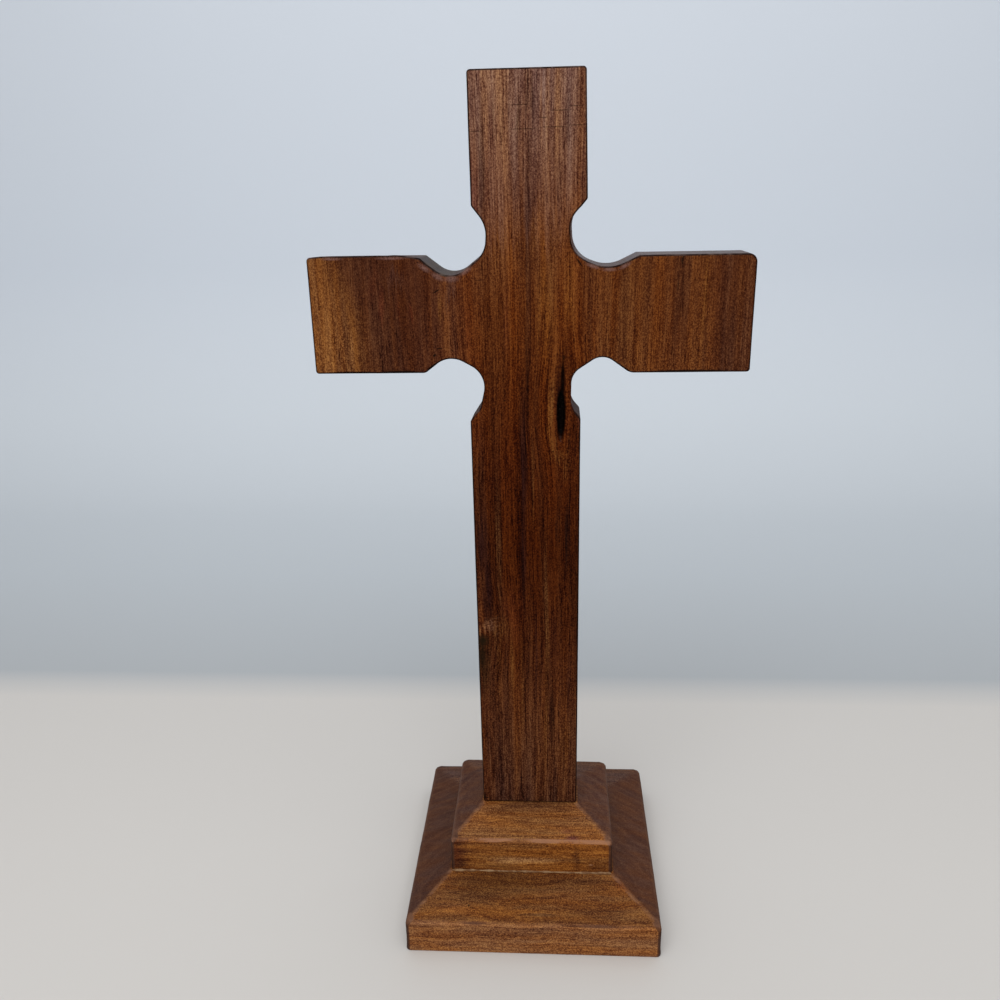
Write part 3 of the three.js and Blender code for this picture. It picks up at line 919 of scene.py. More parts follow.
# The golden end of the left arm grows narrower from the middle of the arm up.
above_middle = maths(tree, "MAXIMUM", minus(tree, axes[2], 235.0), 0.0)
narrowed = times(tree, times(tree, above_middle, 0.4), ease(tree, axes[0], -40.0, -55.0))
tone = mixed(
    tree,
    ease(tree, maths(tree, "ABSOLUTE", axes[0]), 14.0, 26.0),
    tone_ramp(tree, ragged_axes[2], UPRIGHT_TONES),
    tone_ramp(tree, plus(tree, ragged_axes[0], narrowed), ARM_TONES),
)
tone = lay_marks(tree, tone, ragged_place, FACE_MARKS, THROUGH)
swirl = times(tree, minus(tree, wood["Fibres"], 0.5), 7.0)
swirl_shift = add(tree, "CombineXYZ", swirl, 0.0, times(tree, swirl, 2.0)).outputs[0]
tone = lay_marks(tree, tone, vectors(tree, "ADD", place, swirl_shift), KNOT_SWIRLS, 14.0)

# Tops and undersides are cut across the fibres, except in the knot's hollow. They are a
# greyer brown, with a greenish-grey painted reflection in the left arm's upper notch.
facing = add(tree, "SeparateXYZ", add(tree, "TexCoord").outputs["Normal"]).outputs
hollow = covered(tree, place, (10.7, FACE, 205), (5, 5, 24), 0.4, 1.0)
across_grain = ease(tree, maths(tree, "ABSOLUTE", facing[2]), 0.15, 0.6)
across_grain = times(tree, across_grain, minus(tree, 1.0, hollow))
tone = mixed(tree, times(tree, across_grain, 0.75), tone, GREY_BROWN)
# A painted reflection of the pale backdrop on the upward faces of the left arm's upper notch.
notch_painted_reflection = covered(tree, place, (-32, 0, 250), (9, THROUGH, 9), 0.5, 0.85)
tone = mixed(tree, times(tree, notch_painted_reflection, across_grain), tone, REFLECTED_GREY_GREEN)
aside_face = times(tree, ease(tree, maths(tree, "ABSOLUTE", facing[1]), 0.5, 0.1), 0.45)
tone = mixed(tree, aside_face, tone, SIDE_BROWN)
on_arm = ease(tree, maths(tree, "ABSOLUTE", axes[0]), 16.0, 30.0, 1.0, 0.72)
finish = use(
    tree,
    oiled,
    Tone=tone,
    Rings=wood["Rings"],
    Lines=wood["Lines"],
    Streaks=swung(tree, wood["Streaks"], on_arm),
    Fibres=swung(tree, wood["Fibres"], on_arm),
    Pores=wood["Pores"],
    Speckle=wood["Speckle"],
    Tint=wood["Tint"],
    Across=across_grain,
    Contrast=ease(tree, axes[2], 250.0, 200.0, 0.84, 1.2),
)

# The eased edges are darkened, partly by dirt and oil and partly as painted shade, more in some places
# than in others; a few of those that face up carry a dull pinkish-grey painted highlight instead.
RIM_DIRT_AND_SHADE = (0.0085, 0.0036, 0.0028, 1)
RIM_HIGHLIGHT = (0.115, 0.074, 0.0600, 1)
turned = maths(tree, "ABSOLUTE", facing[1])
rim = times(tree, ease(tree, turned, 0.18, 0.32), ease(tree, turned, 0.987, 0.887))
rim = times(tree, rim, minus(tree, 1.0, hollow))
patchy = noise_at(tree, place, (0.3, 0.3, 0.3), 4.0, 0.6).outputs["Fac"]
# Painted highlight: up-facing eased edges are made pale in patches.
rim_highlight = times(tree, ease(tree, facing[2], 0.3, 0.7), ease(tree, patchy, 0.42, 0.66))
rim_tone = mixed(tree, rim_highlight, RIM_DIRT_AND_SHADE, RIM_HIGHLIGHT)
rim = times(tree, rim, ease(tree, patchy, 0.62, 0.45, 0.65, 0.93))
colour = mixed(tree, rim, finish["Colour"], rim_tone)

# Bark, worn spots, nicks, painted shade lines and hairlines lie over the oiled wood, on the front
# alone.
in_front = ease(tree, axes[1], 0.0, -4.0)
for across, up, half_width, half_height, softness, strength, knot_tone in KNOT_MARKS:
    reach = (half_width, THROUGH, half_height)
    share = covered(tree, place, (across, FACE, up), reach, softness, strength)
    colour = mixed(tree, times(tree, share, in_front), colour, knot_tone)
for kinds, softness, strength, mark_tone in (
    (SCUFFS, 0.9, 1.0, SCUFFED),
    (FRAYED, 0.95, 0.45, PALE_FIBRE),
    (NICKS_AND_SHADE_LINES, 0.6, 0.9, BARK_AND_SHADOW),
):
    for across, up, half_length, half_width, lean in kinds:
        turned_place = turned_in_plane(tree, place, across, up, lean)
        reach = (half_length, SHALLOW, half_width)
        share = covered(tree, turned_place, (0, FACE, 0), reach, softness, strength)
        if kinds is not NICKS_AND_SHADE_LINES:
            share = times(tree, share, ease(tree, wood["Speckle"], 0.36, 0.58, 0.4, 1.0))
        colour = mixed(tree, share, colour, mark_tone)
groove = 0.0
for across, up, half_length in HAIRLINES:
    share = covered(tree, place, (across, FACE, up), (half_length, SHALLOW, HAIRLINE_HALF), 0.8, 0.6)
    groove = maths(tree, "MAXIMUM", groove, share)
colour = mixed(tree, groove, colour, DARK)

# Surfaces that face up have a dull sheen, least on the left and none on the dark edges.
sheen = ease(tree, facing[2], 0.3, 0.85)
sheen = times(tree, sheen, ease(tree, axes[2], 212.0, 236.0, 0.2, 0.5))
sheen = times(tree, sheen, ease(tree, axes[0], -20.0, 10.0, 0.45, 1.0))
sheen = times(tree, sheen, ease(tree, axes[2], 251.5, 255.5, 0.78, 1.1))
sheen = times(tree, sheen, minus(tree, 1.0, rim))
give(
    tree,
    shader,
    {
        "Base Color": colour,
        "Roughness": finish["Roughness"],
        "Specular IOR Level": 0.02,
        "Coat Weight": sheen,
        "Coat Roughness": 0.35,
    },
)
raise_grain(tree, shader, minus(tree, finish["Height"], groove))
dress(cross_board, material)

# The upper step: a sawn block with its grain from left to right, its top planed to four
# slopes that rise to the cross's foot. Its edges are sanded soft, and its left and right
# sides show the ends of the fibres.
STEP_CUTS = 1.5 * MM
STEP_SANDING = 0.34 * MM
STEP_HOLLOWS = 15 * MM
UNSANDED_FOOT = 3 * MM
UNSANDED_TOP = 0.8 * MM
ARRIS = 1.8 * MM
BOTTOM_EASE = 0.35 * MM
UPPER_BOTTOM = 19 * MM
UPPER_THICKNESS = 19 * MM
UPPER_EDGE = 14.8 * MM
UPPER_OUTLINE = Vector((64.2, 53.6)) * MM
UPPER_TOP = Vector((39, 17.8)) * MM
UPPER_MIDDLE = -0.8 * MM


def sloping_step(outline, middle, bottom, edge, top, top_middle, thickness):
    """A block with rounded edges and four slopes, from its outline and its top's."""
    step = bmesh.new()
    bmesh.ops.create_grid(step, x_segments=1, y_segments=1, size=0.5)
    bmesh.ops.scale(step, vec=(outline.x, outline.y, 1), verts=step.verts[:])
    bmesh.ops.translate(step, vec=(middle, 0, bottom), verts=step.verts[:])
    raised = bmesh.ops.extrude_face_region(step, geom=step.faces[:])["geom"]
    bmesh.ops.translate(step, vec=(0, 0, edge), verts=verts_in(raised))
    edge_face = max(step.faces, key=lambda f: f.calc_center_bounds().z)
    top_verts = pull_out(step, [edge_face], (0, 0, thickness - edge))
    shrink = (top.x / outline.x, top.y / outline.y, 1)
    about = Matrix.Translation((-middle, 0, 0))
    bmesh.ops.scale(step, vec=shrink, space=about, verts=top_verts)
    bmesh.ops.translate(step, vec=(top_middle - middle, 0, 0), verts=top_verts)
    bmesh.ops.recalc_face_normals(step, faces=step.faces[:])
    arrises = [e for e in step.edges if any(abs(v.co.z - bottom - edge) < SNAP for v in e.verts)]
    bevel(step, arrises, ARRIS, 5)
    foot = [e for e in step.edges if all(v.co.z < bottom + SNAP for v in e.verts)]
    bevel(step, foot, BOTTOM_EASE, 2)
    half = outline / 2
    cut_evenly(step, 0, middle - half.x + STEP_CUTS, middle + half.x - STEP_CUTS, STEP_CUTS)
    cut_evenly(step, 1, -half.y + STEP_CUTS, half.y - STEP_CUTS, STEP_CUTS)
    cut_evenly(step, 2, bottom + STEP_CUTS, bottom + edge - STEP_CUTS, STEP_CUTS)

    def sandable(place):
        top_level = bottom + thickness
        low = smooth_share(bottom + BOTTOM_EASE, bottom + UNSANDED_FOOT, place.z)
        return low * smooth_share(top_level, top_level - UNSANDED_TOP, place.z)

    sand(step, STEP_SANDING, STEP_HOLLOWS, sandable)
    return step


upper = sloping_step(
    UPPER_OUTLINE,
    UPPER_MIDDLE,
    UPPER_BOTTOM,
    UPPER_EDGE,
    UPPER_TOP,
    TENON_CENTRE,
    UPPER_THICKNESS,
)
upper_step = new_piece("upper_step_block", upper, "upper_step")

MORTISE_CLEARANCE = 0.3 * MM
mortise = bmesh.new()
bmesh.ops.create_cube(mortise, size=1)
mortise_size = (
    2 * TENON_HALF_WIDTH + 2 * MORTISE_CLEARANCE,
    2 * TENON_HALF_THICKNESS + 2 * MORTISE_CLEARANCE,
    2 * TENON_LENGTH + 2 * MORTISE_CLEARANCE,
)
bmesh.ops.scale(mortise, vec=mortise_size, verts=mortise.verts[:])
bmesh.ops.translate(mortise, vec=(TENON_CENTRE, 0, FOOT), verts=mortise.verts[:])
take_out(upper_step, mortise)
for screw in SCREW_X:
    drill(upper_step, screw)

# The base's wood: golden brown where the plane followed the grain, and a greyer brown with
# arcs of growth rings where it went across. Tones: front, front slope, side slopes, back
# slope and the upright sides; the back slope's greyer brown is a painted sheen.
UPPER_TONES = (
    (0.203, 0.071, 0.0155),
    (0.205, 0.077, 0.0203),
    (0.085, 0.0330, 0.0163),
    (0.092, 0.040, 0.0220),
    (0.084, 0.032, 0.0145),
)

# Broad marks with ragged edges, then small ones: middle, reach, softness, strength, tone.
UPPER_PATCHES = [
    ((-31.0, -27, 26), (7.5, 9, 13), 0.8, 0.9, (0.080, 0.0200, 0.0075, 1)),
    ((-29.0, -27, 22), (3.4, 5, 3.4), 0.9, 0.6, (0.036, 0.0110, 0.0050, 1)),
    ((17.2, -28, 26), (2.2, 3, 10), 0.8, 0.9, (0.052, 0.0135, 0.0060, 1)),
    ((-4, -27, 24.2), (19, 4, 2.2), 0.9, 0.85, (0.350, 0.160, 0.0520, 1)),
    ((-8, -27, 29.8), (22, 4, 2.4), 0.9, 0.4, (0.120, 0.040, 0.0105, 1)),
    ((25.5, -27, 21.4), (7.5, 4, 2.8), 0.9, 0.75, (0.100, 0.030, 0.0075, 1)),
    ((25.0, -27, 28.5), (6.0, 4, 3.0), 0.9, 0.4, (0.290, 0.110, 0.0270, 1)),
    ((-9, -12, 36.5), (11, 3, 2), 0.9, 0.25, (0.100, 0.034, 0.0090, 1)),
    ((12, -20, 36), (9, 3, 2), 0.9, 0.3, (0.240, 0.094, 0.0280, 1)),
    # Painted shade, with some dirt, round the cross's foot where it meets the slope.
    ((-1.7, -9.6, 38), (24, 2.4, 4), 0.9, 0.5, (0.075, 0.026, 0.0090, 1)),
]
UPPER_MARKS = [
    ((15.5, -25.4, 34.4), (4.2, 2.6, 1.8), 0.9, 0.9, (0.105, 0.029, 0.0290, 1)),
    ((13.0, -22.0, 35.4), (5.0, 2.2, 1.5), 0.95, 0.5, (0.105, 0.029, 0.0290, 1)),
    ((22.8, -27, 22.8), (1.3, 2, 0.5), 0.8, 0.7, (0.340, 0.180, 0.0900, 1)),
    ((-29.5, -27, 31.5), (2.2, 3, 1.0), 0.9, 0.6, (0.030, 0.0100, 0.0045, 1)),
    ((3.5, -27, 27.6), (9, 3, 0.45), 0.9, 0.45, (0.060, 0.019, 0.0060, 1)),
    ((-14, -27, 21.0), (8, 3, 0.40), 0.9, 0.5, (0.060, 0.019, 0.0060, 1)),
]

# Edges of the steps: the arris under a slope is made pale in patches as a painted highlight, the hip
# between two slopes is paler in patches, partly from wear and partly as painted highlight, and the
# upright corners are darkened, partly by dirt and partly as painted shade.
ARRIS_HIGHLIGHT = (0.345, 0.165, 0.0900, 1)
HIP_WEAR_AND_HIGHLIGHT = (0.250, 0.125, 0.0720, 1)
DIRT_AND_SHADE_DARK = (0.032, 0.0120, 0.0065, 1)
edge_wear_and_light, given, result = new_group(
    "step edges worn and painted light",
    {
        "Wood": "colour",
        "Position": (0.0, 0.0, 0.0),
        "Facing": (0.0, 0.0, 0.0),
        "Arris": 0.5,
    },
    {"Colour": "colour"},
)
facing = add(edge_wear_and_light, "SeparateXYZ", given["Facing"]).outputs
sideways = maths(edge_wear_and_light, "ABSOLUTE", facing[0])
endways = maths(edge_wear_and_light, "ABSOLUTE", facing[1])
patchy = noise_at(edge_wear_and_light, given["Position"], (0.09, 0.3, 0.3), 3.0, 0.6).outputs["Fac"]
# Painted highlight on the arrises under the slopes, strongest at the front, in patches.
arris = maths(edge_wear_and_light, "MINIMUM", minus(edge_wear_and_light, facing[2], 0.3), minus(edge_wear_and_light, 0.95, facing[2]))
arris = ease(edge_wear_and_light, arris, 0.0, 0.12)
arris = times(edge_wear_and_light, arris, ease(edge_wear_and_light, patchy, 0.4, 0.58, 0.15, 1.0))
arris = times(edge_wear_and_light, arris, ease(edge_wear_and_light, facing[1], 0.0, -0.35, 0.06, given["Arris"]))
colour = mixed(edge_wear_and_light, arris, given["Wood"], ARRIS_HIGHLIGHT)
# Hips paler towards the front: partly wear, partly painted highlight.
hip = ease(edge_wear_and_light, maths(edge_wear_and_light, "MINIMUM", sideways, endways), 0.05, 0.13)
hip = times(edge_wear_and_light, hip, ease(edge_wear_and_light, facing[2], 0.5, 0.85))
hip = times(edge_wear_and_light, hip, ease(edge_wear_and_light, patchy, 0.36, 0.62, 0.08, 0.42))
back_to_front = add(edge_wear_and_light, "SeparateXYZ", given["Position"]).outputs[1]
hip = times(edge_wear_and_light, hip, ease(edge_wear_and_light, back_to_front, 8.0, -12.0))
colour = mixed(edge_wear_and_light, hip, colour, HIP_WEAR_AND_HIGHLIGHT)
# Upright corners darkened: partly dirt, partly painted shade.
corner = times(edge_wear_and_light, ease(edge_wear_and_light, sideways, 0.45, 0.75), ease(edge_wear_and_light, endways, 0.1, 0.35))
corner = times(edge_wear_and_light, corner, ease(edge_wear_and_light, facing[2], 0.4, 0.1, 0.0, 0.8))
feed(edge_wear_and_light, result["Colour"], mixed(edge_wear_and_light, corner, colour, DIRT_AND_SHADE_DARK))


def base_material(
    name,
    tones,
    patches,
    marks,
    pith,
    spacing,
    sway,
    shortness,
    ring_share,
    fibre_share,
    speckle_share,
    pore_share,
    contrast,
    front_lines,
    arris_share,
):
    """The base's wood for one of its steps, with its grain along X."""
    material, tree, shader = new_material(name)
    place = in_millimetres(tree)
    axes = add(tree, "SeparateXYZ", place).outputs
    grain = add(tree, "CombineXYZ", axes[1], axes[2], axes[0]).outputs[0]
    wood = use(
        tree, figure, Position=grain, Pith=pith, Spacing=spacing, Sway=sway, Shortness=shortness
    )
    normal = add(tree, "TexCoord").outputs["Normal"]
    facing = add(tree, "SeparateXYZ", normal).outputs
    sideways = maths(tree, "ABSOLUTE", facing[0])
    on_slope = ease(tree, facing[2], 0.5, 0.85)
    on_side_slope = ease(tree, sideways, 0.1, 0.26)
    on_back_slope = times(tree, ease(tree, facing[1], 0.0, 0.08), ease(tree, facing[2], 0.2, 0.5))
    on_side = ease(tree, sideways, 0.6, 0.92)
    front, slope, side_slope, back_slope_sheen, side = [(*tone, 1) for tone in tones]
    colour = mixed(tree, on_slope, front, slope)
    # The back slopes take a greyer tone as painted sheen.
    colour = mixed(tree, on_back_slope, colour, back_slope_sheen)
    ragged = minus(tree, wood["Streaks"], 0.5)
    shift = add(tree, "CombineXYZ", times(tree, ragged, 9.0), 0.0, times(tree, ragged, 4.0))
    ragged_place = vectors(tree, "ADD", place, shift.outputs[0])
    for position, kinds in ((ragged_place, patches), (place, marks)):
        for middle, reach, softness, strength, tone in kinds:
            share = covered(tree, position, middle, reach, softness, strength)
            colour = mixed(tree, share, colour, tone)
    # Painted shade: the side slopes are darkened towards the left.
    left_slope_painted_shade = mixed(tree, ease(tree, axes[0], 0.0, -20.0, 0.0, 0.24), side_slope, DIRT_AND_SHADE_DARK)
    colour = mixed(tree, on_side_slope, colour, left_slope_painted_shade)
    colour = mixed(tree, on_side, colour, side)
    across = maths(tree, "MAXIMUM", on_side_slope, on_side)
    finish = use(
        tree,
        oiled,
        Tone=colour,
        Rings=swung(tree, wood["Rings"], ring_share),
        Lines=times(tree, wood["Lines"], ease(tree, across, 0.0, 1.0, front_lines, 1.0)),
        Streaks=wood["Streaks"],
        Fibres=swung(tree, wood["Fibres"], fibre_share),
        Pores=times(tree, wood["Pores"], pore_share),
        Speckle=swung(tree, wood["Speckle"], speckle_share),
        Tint=wood["Tint"],
        Across=across,
        Contrast=contrast,
    )
    edges_worn_and_lit = use(
        tree, edge_wear_and_light, Wood=finish["Colour"], Position=place, Facing=normal, Arris=arris_share
    )
    give(
        tree,
        shader,
        {
            "Base Color": edges_worn_and_lit["Colour"],
            "Roughness": finish["Roughness"],
            "Specular IOR Level": 0.06,
            "Coat Weight": times(tree, across, 0.08),
            "Coat Roughness": 0.4,
        },
    )
    raise_grain(tree, shader, finish["Height"])
    return material


material = base_material(
    "upper_step_wood",
    UPPER_TONES,
    UPPER_PATCHES,
    UPPER_MARKS,
    pith=(-12.0, 84.0, 0.0),
    spacing=2.1,
    sway=1.5,
    shortness=2.5,
    ring_share=1.4,
    fibre_share=0.85,
    speckle_share=1.25,
    pore_share=0.6,
    contrast=0.85,
    front_lines=-0.5,
    arris_share=0.75,
)
dress(upper_step, material)

# The lower step: a wider block of the same plank, made the same way. Its front slope was
# planed nearly along the growth rings, so its figure is broad and dark on the left.
LOWER_MIDDLE = 0
LOWER_BOTTOM = 0
LOWER_THICKNESS = 19 * MM
LOWER_EDGE = 13.8 * MM
LOWER_OUTLINE = Vector((97.5, 98.5)) * MM
LOWER_TOP = Vector((65, 54.4)) * MM
LOWER_TONES = (
    (0.232, 0.092, 0.0305),
    (0.160, 0.0585, 0.0143),
    (0.077, 0.0285, 0.0128),
    (0.088, 0.037, 0.0195),
    (0.080, 0.031, 0.0140),
)
LOWER_PATCHES = [
    ((-12, -31, 18), (30, 9, 7), 0.9, 0.8, (0.086, 0.0330, 0.0088, 1)),
    ((-22, -36, 17), (17, 7, 6), 0.95, 0.45, (0.086, 0.0330, 0.0088, 1)),
    ((12, -30, 18), (20, 4, 6), 0.95, 0.4, (0.090, 0.0320, 0.0088, 1)),
    ((-30, -43, 15.5), (10, 3.5, 4), 0.9, 0.4, (0.230, 0.090, 0.0280, 1)),
    ((14, -38, 17), (20, 6, 6), 0.9, 0.4, (0.205, 0.080, 0.0230, 1)),
    ((36, -31, 18), (6, 5, 3), 0.9, 0.6, (0.210, 0.060, 0.0150, 1)),
    ((28, -44.5, 15), (17, 2.2, 4), 0.9, 0.45, (0.085, 0.030, 0.0100, 1)),
    # Painted shade along the foot of the upper step's right side.
    ((34, -7, 18), (5, 26, 2), 0.9, 0.5, (0.040, 0.019, 0.0110, 1)),
]
LOWER_MARKS = [
    ((2.5, -44.8, 15.2), (12, 1.1, 2), 0.95, 0.6, (0.060, 0.0330, 0.0190, 1)),
    ((-24.7, -41.7, 15.6), (0.55, 0.8, 2), 0.8, 0.95, (0.008, 0.0035, 0.0015, 1)),
    ((-23.6, -42.6, 15.4), (0.9, 0.35, 2), 0.8, 0.7, (0.012, 0.0050, 0.0020, 1)),
    ((-22.0, -48.4, 13.4), (9, 3, 0.60), 0.8, 0.85, (0.042, 0.0115, 0.0070, 1)),
    ((22, -48.4, 13.3), (21, 3, 0.55), 0.8, 0.75, (0.044, 0.0125, 0.0075, 1)),
    ((29, -42.6, 16), (13, 0.55, 3), 0.9, 0.55, (0.060, 0.0220, 0.0080, 1)),
    ((20, -40.4, 16), (9, 0.45, 3), 0.9, 0.4, (0.070, 0.0260, 0.0090, 1)),
    ((26, -49, 4.6), (18, 3, 0.4), 0.9, 0.45, (0.060, 0.0220, 0.0090, 1)),
    ((-12, -49, 8.4), (14, 3, 0.35), 0.9, 0.4, (0.070, 0.0250, 0.0090, 1)),
]

lower = sloping_step(
    LOWER_OUTLINE,
    LOWER_MIDDLE,
    LOWER_BOTTOM,
    LOWER_EDGE,
    LOWER_TOP,
    UPPER_MIDDLE,
    LOWER_THICKNESS,
)
lower_step = new_piece("lower_step_block", lower, "lower_step")
for screw in SCREW_X:
    drill(lower_step, screw)
material = base_material(
    "lower_step_wood",
    LOWER_TONES,
    LOWER_PATCHES,
    LOWER_MARKS,
    pith=(-34.0, 74.0, 0.0),
    spacing=2.6,
    sway=6.0,
    shortness=3.0,
    ring_share=1.5,
    fibre_share=0.6,
    speckle_share=1.4,
    pore_share=0.4,
    contrast=0.78,
    front_lines=-1.8,
    arris_share=0.14,
)
dress(lower_step, material)

# The glue line: glue was squeezed out along the foot of the upper step, wiped off badly,
# and has caught dust. It is uneven, and a little thicker towards its two ends.
GLUE_RADIUS = 0.6 * MM
GLUE_MIDDLE = Vector((UPPER_MIDDLE, -26.85 * MM, UPPER_BOTTOM + 0.1 * MM))
GLUE_HALF = 31.6 * MM
GLUE_STEPS = 120
# Shares of its radius: on the whole, more towards the ends, more in the blobs, and least.
GLUE_MEAN = 0.72
GLUE_END_SWELL = 0.3
GLUE_BLOB_SWELL = 0.6
GLUE_THINNEST = 0.15
GLUE_BLOBS = 3.2 * MM
GLUE_CLOSING = 0.97  # how far out its ends begin to close
glue = bmesh.new()
bmesh.ops.create_circle(glue, cap_ends=True, segments=10, radius=GLUE_RADIUS)
bmesh.ops.rotate(glue, verts=glue.verts[:], matrix=Matrix.Rotation(math.radians(90), 3, "Y"))
bmesh.ops.translate(glue, verts=glue.verts[:], vec=GLUE_MIDDLE - Vector((GLUE_HALF, 0, 0)))
end_face = glue.faces[:]
for i in range(GLUE_STEPS):
    drawn = bmesh.ops.extrude_face_region(glue, geom=end_face)["geom"]
    if i > 0:
        bmesh.ops.delete(glue, geom=end_face, context="FACES_ONLY")
    end_face = [f for f in drawn if isinstance(f, bmesh.types.BMFace)]
    bmesh.ops.translate(glue, verts=verts_in(drawn), vec=(2 * GLUE_HALF / GLUE_STEPS, 0, 0))
bmesh.ops.recalc_face_normals(glue, faces=glue.faces[:])
for vert in glue.verts:
    out = (vert.co.x - GLUE_MIDDLE.x) / GLUE_HALF
    blob = noise.noise((vert.co.x / GLUE_BLOBS, 0, 3.7))
    swell = GLUE_MEAN + GLUE_END_SWELL * out * out + GLUE_BLOB_SWELL * blob
    closing = smooth_share(1.0, GLUE_CLOSING, abs(out))
    axis_point = Vector((vert.co.x, GLUE_MIDDLE.y, GLUE_MIDDLE.z))
    thickness = max(GLUE_THINNEST, swell) * (0.2 + 0.8 * closing)
    vert.co = axis_point + (vert.co - axis_point) * thickness
glue_line = new_piece("glue_line", glue, None)

GLUE_TONE = (0.150, 0.066, 0.0240, 1)
DUST_TONE = (0.300, 0.185, 0.0950, 1)
material, tree, shader = new_material("dried_glue")
place = in_millimetres(tree)
dusty = noise_at(tree, place, (0.35, 0.8, 0.8), 3.0, 0.65).outputs["Fac"]
give(
    tree,
    shader,
    {
        "Base Color": mixed(tree, ease(tree, dusty, 0.42, 0.66), GLUE_TONE, DUST_TONE),
        "Roughness": ease(tree, dusty, 0.3, 0.7, 0.45, 0.8),
        "Specular IOR Level": 0.2,
    },
)
dress(glue_line, material)

# The wood screws: one long one draws the cross down into its mortise, and two short ones
# hold the steps together. Turned from steel wire, with a cross recess and a rolled thread.
SCREW_HEAD_RADIUS = 4.1 * MM
SCREW_HEAD_HEIGHT = 2.4 * MM
SCREW_RIM = 0.3 * MM
SCREW_EDGE = 0.12 * MM
SHANK_RADIUS = 2.1 * MM
CORE_RADIUS = 1.5 * MM
THREAD_PITCH = 1.8 * MM
THREAD_HALF_FOOT = 0.4 * MM
THREAD_SINK = 0.1 * MM
THREAD_END = 1.2 * MM
THREAD_STEPS = 24
SCREW_POINT = 5 * MM
POINT_BLUNTNESS = 0.05
RECESS_LENGTH = 4.6 * MM
RECESS_WIDTH = 1 * MM
RECESS_DEPTH = 1.9 * MM
RECESS_TAPER = 0.35


def wood_screw(name, node_name):
    """One screw, head down, in place of its node."""
    x = SCREW_X[node_name]
    length = SCREW_LENGTH[node_name]
    shank_top = SCREW_SINK + length / 3
    tip = SCREW_SINK + length
    body = bmesh.new()
    profile = [
        (0, SCREW_SINK),
        (SCREW_HEAD_RADIUS - SCREW_EDGE, SCREW_SINK),
        (SCREW_HEAD_RADIUS, SCREW_SINK + SCREW_EDGE),
        (SCREW_HEAD_RADIUS, SCREW_SINK + SCREW_RIM),
        (SHANK_RADIUS, SCREW_SINK + SCREW_HEAD_HEIGHT),
        (SHANK_RADIUS, shank_top),
        (CORE_RADIUS, shank_top + SHANK_RADIUS - CORE_RADIUS),
        (CORE_RADIUS, tip - SCREW_POINT),
        (0, tip),
    ]
    turn(body, profile, x, HOLE_SIDES)
    screw = new_piece(name, body, node_name)
    for turned_by in (0, 90):
        plate = bmesh.new()
        bmesh.ops.create_cube(plate, size=1)
        floor = [v for v in plate.verts if v.co.z > 0]
        bmesh.ops.scale(plate, vec=(RECESS_TAPER, 1, 1), verts=floor)
        size = (RECESS_LENGTH, RECESS_WIDTH, 2 * RECESS_DEPTH)
        bmesh.ops.scale(plate, vec=size, verts=plate.verts[:])
        crossing = Matrix.Rotation(math.radians(turned_by), 3, "Z")
        bmesh.ops.rotate(plate, verts=plate.verts[:], matrix=crossing)
        bmesh.ops.translate(plate, vec=(x, 0, SCREW_SINK), verts=plate.verts[:])
        take_out(screw, plate)

    thread = bmesh.new()
    start = shank_top + THREAD_PITCH
    turns = int((tip - THREAD_END - start) / THREAD_PITCH)
    foot = x + CORE_RADIUS - THREAD_SINK
    corners = [
        thread.verts.new((foot, 0, start - THREAD_HALF_FOOT)),
        thread.verts.new((x + SHANK_RADIUS, 0, start)),
        thread.verts.new((foot, 0, start + THREAD_HALF_FOOT)),
    ]
    first = thread.faces.new(corners)
    bmesh.ops.spin(
        thread,
        geom=[first],
        cent=(x, 0, 0),
        axis=(0, 0, 1),
        dvec=(0, 0, THREAD_PITCH / THREAD_STEPS),
        angle=2 * math.pi * turns,
        steps=THREAD_STEPS * turns,
    )
    bmesh.ops.recalc_face_normals(thread, faces=thread.faces[:])
    for vert in thread.verts:
        narrowing = min(1, max(POINT_BLUNTNESS, (tip - vert.co.z) / SCREW_POINT))
        vert.co.x = x + (vert.co.x - x) * narrowing
        vert.co.y *= narrowing
    thread.from_mesh(screw.data)
    for face in thread.faces:
        face.smooth = True
    thread.to_mesh(screw.data)
    thread.free()
    screw.data.set_sharp_from_angle(angle=SMOOTH_ANGLE)
    dress(screw, steel)


STEEL = (0.46, 0.445, 0.42, 1)
DULL_STEEL = (0.20, 0.185, 0.165, 1)
DRAWN_LINE_DEPTH = 0.02 * MM
steel, tree, shader = new_material("screw_steel")
place = in_millimetres(tree)
tarnish = noise_at(tree, place, (0.9, 0.9, 0.9), 4.0, 0.6).outputs["Fac"]
drawn_lines = noise_at(tree, place, (0.6, 0.6, 9.0), 2.0, 0.5).outputs["Fac"]
give(
    tree,
    shader,
    {
        "Base Color": mixed(tree, ease(tree, tarnish, 0.45, 0.7), STEEL, DULL_STEEL),
        "Roughness": ease(tree, tarnish, 0.3, 0.7, 0.28, 0.5),
        "Metallic": 1.0,
    },
)
raise_grain(tree, shader, drawn_lines, 0.3, DRAWN_LINE_DEPTH)

wood_screw("long_screw", "foot_screw")
wood_screw("left_screw", "step_screw_left")
wood_screw("right_screw", "step_screw_right")

# The floor and the backdrop are one pale sweep: warm under the cross, and cooler from a little way
# behind it up to the top, where a darker band of painted shade at the floor's back lightens up the
# backdrop.
SHEET_WIDTH = 3.0
SHEET_FRONT = -1.5
SHEET_TOP = 1.6
BEND_START = 0.42
BEND_RADIUS = 0.2
BEND_STEPS = 24
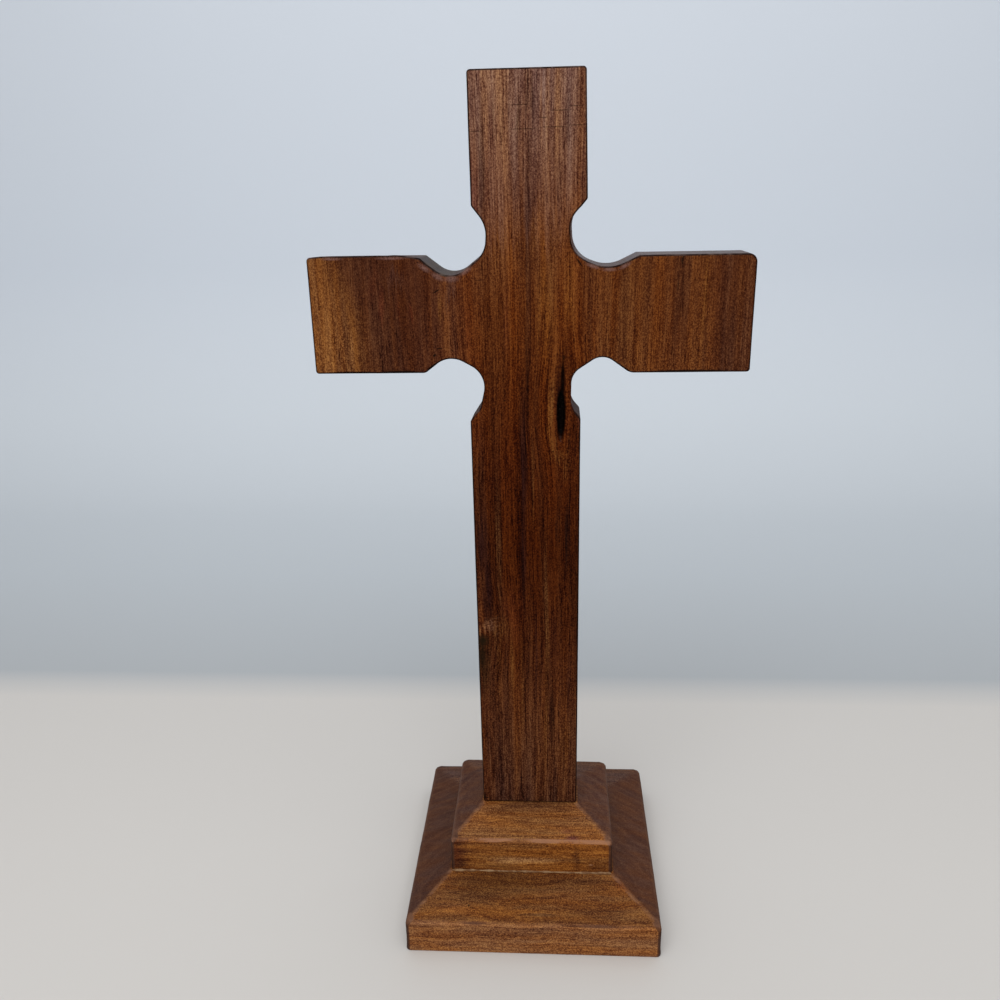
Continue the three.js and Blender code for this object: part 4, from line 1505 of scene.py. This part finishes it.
# Tones by how far back plus how high on the sheet; the dark band and the brightening above it are
# painted shade.
SHEET_TONES_AND_SHADE = [
    (-1.5, (0.610, 0.587, 0.559)),
    (0.132, (0.610, 0.587, 0.559)),
    (0.156, (0.430, 0.452, 0.470)),
    (0.300, (0.520, 0.555, 0.585)),
    (0.420, (0.585, 0.622, 0.655)),
    (0.620, (0.680, 0.728, 0.778)),
    (0.820, (0.745, 0.800, 0.875)),
    (2.220, (0.720, 0.775, 0.860)),
]
section = [(SHEET_FRONT, 0)]
for i in range(BEND_STEPS + 1):
    angle = math.radians(90 * i / BEND_STEPS)
    back = BEND_START + BEND_RADIUS * math.sin(angle)
    section.append((back, BEND_RADIUS * (1 - math.cos(angle))))
section.append((BEND_START + BEND_RADIUS, SHEET_TOP))
sheet = bmesh.new()
side = [sheet.verts.new((-SHEET_WIDTH / 2, y, z)) for y, z in section]
side_edges = [sheet.edges.new(pair) for pair in zip(side, side[1:])]
drawn = bmesh.ops.extrude_edge_only(sheet, edges=side_edges)["geom"]
bmesh.ops.translate(sheet, vec=(SHEET_WIDTH, 0, 0), verts=verts_in(drawn))
for face in sheet.faces:
    face.smooth = True
mesh = bpy.data.meshes.new("sheet")
sheet.to_mesh(mesh)
sheet.free()
material, tree, shader = new_material("sheet")
axes = add(tree, "SeparateXYZ", add(tree, "TexCoord").outputs["Object"]).outputs
sheet_tone_and_shade = tone_ramp(tree, plus(tree, axes[1], axes[2]), SHEET_TONES_AND_SHADE)
give(tree, shader, {"Base Color": sheet_tone_and_shade, "Roughness": 0.9, "Specular IOR Level": 0.1})
mesh.materials.append(material)
sheet_piece = bpy.data.objects.new("sheet", mesh)
scene.collection.objects.link(sheet_piece)

# Even daylight: a white sky at half strength, a broad lamp above the viewer's left
# shoulder and one straight above. Seen directly or in a reflection, the sky is the
# backdrop's pale tone.
SKY_LIGHT = (1, 1, 1, 1)
SKY_STRENGTH = 0.5
SKY_SEEN = (0.62, 0.665, 0.72, 1)
world = bpy.data.worlds.new("sky")
scene.world = world
world.use_nodes = True
sky = world.node_tree
rays = add(sky, "LightPath").outputs
seen = maths(sky, "MAXIMUM", rays["Is Camera Ray"], rays["Is Glossy Ray"])
seen = maths(sky, "MAXIMUM", seen, rays["Is Transmission Ray"])
sky_tone = mixed(sky, seen, SKY_LIGHT, SKY_SEEN)
sky_strength = ease(sky, seen, 0.0, 1.0, SKY_STRENGTH, 1.0)
give(sky, sky.nodes["Background"], {"Color": sky_tone, "Strength": sky_strength})


def soft_lamp(name, place, aim, width, height, power):
    """A broad lamp that the camera doesn't see."""
    data = bpy.data.lights.new(name, "AREA")
    data.shape = "RECTANGLE"
    data.size = width
    data.size_y = height
    data.energy = power
    lamp = bpy.data.objects.new(name, data)
    lamp.location = place
    lamp.rotation_euler = (Vector(aim) - Vector(place)).to_track_quat("-Z", "Y").to_euler()
    lamp.visible_camera = False
    scene.collection.objects.link(lamp)


soft_lamp(
    "front_lamp",
    place=(-0.10, -0.62, 0.72),
    aim=(0, 0, 0.14),
    width=0.9,
    height=0.6,
    power=3.6,
)
soft_lamp(
    "top_lamp",
    place=(0.05, 0, 1.0),
    aim=(0.05, 0, 0),
    width=1.0,
    height=1.0,
    power=3.5,
)

scene.view_settings.view_transform = "Standard"
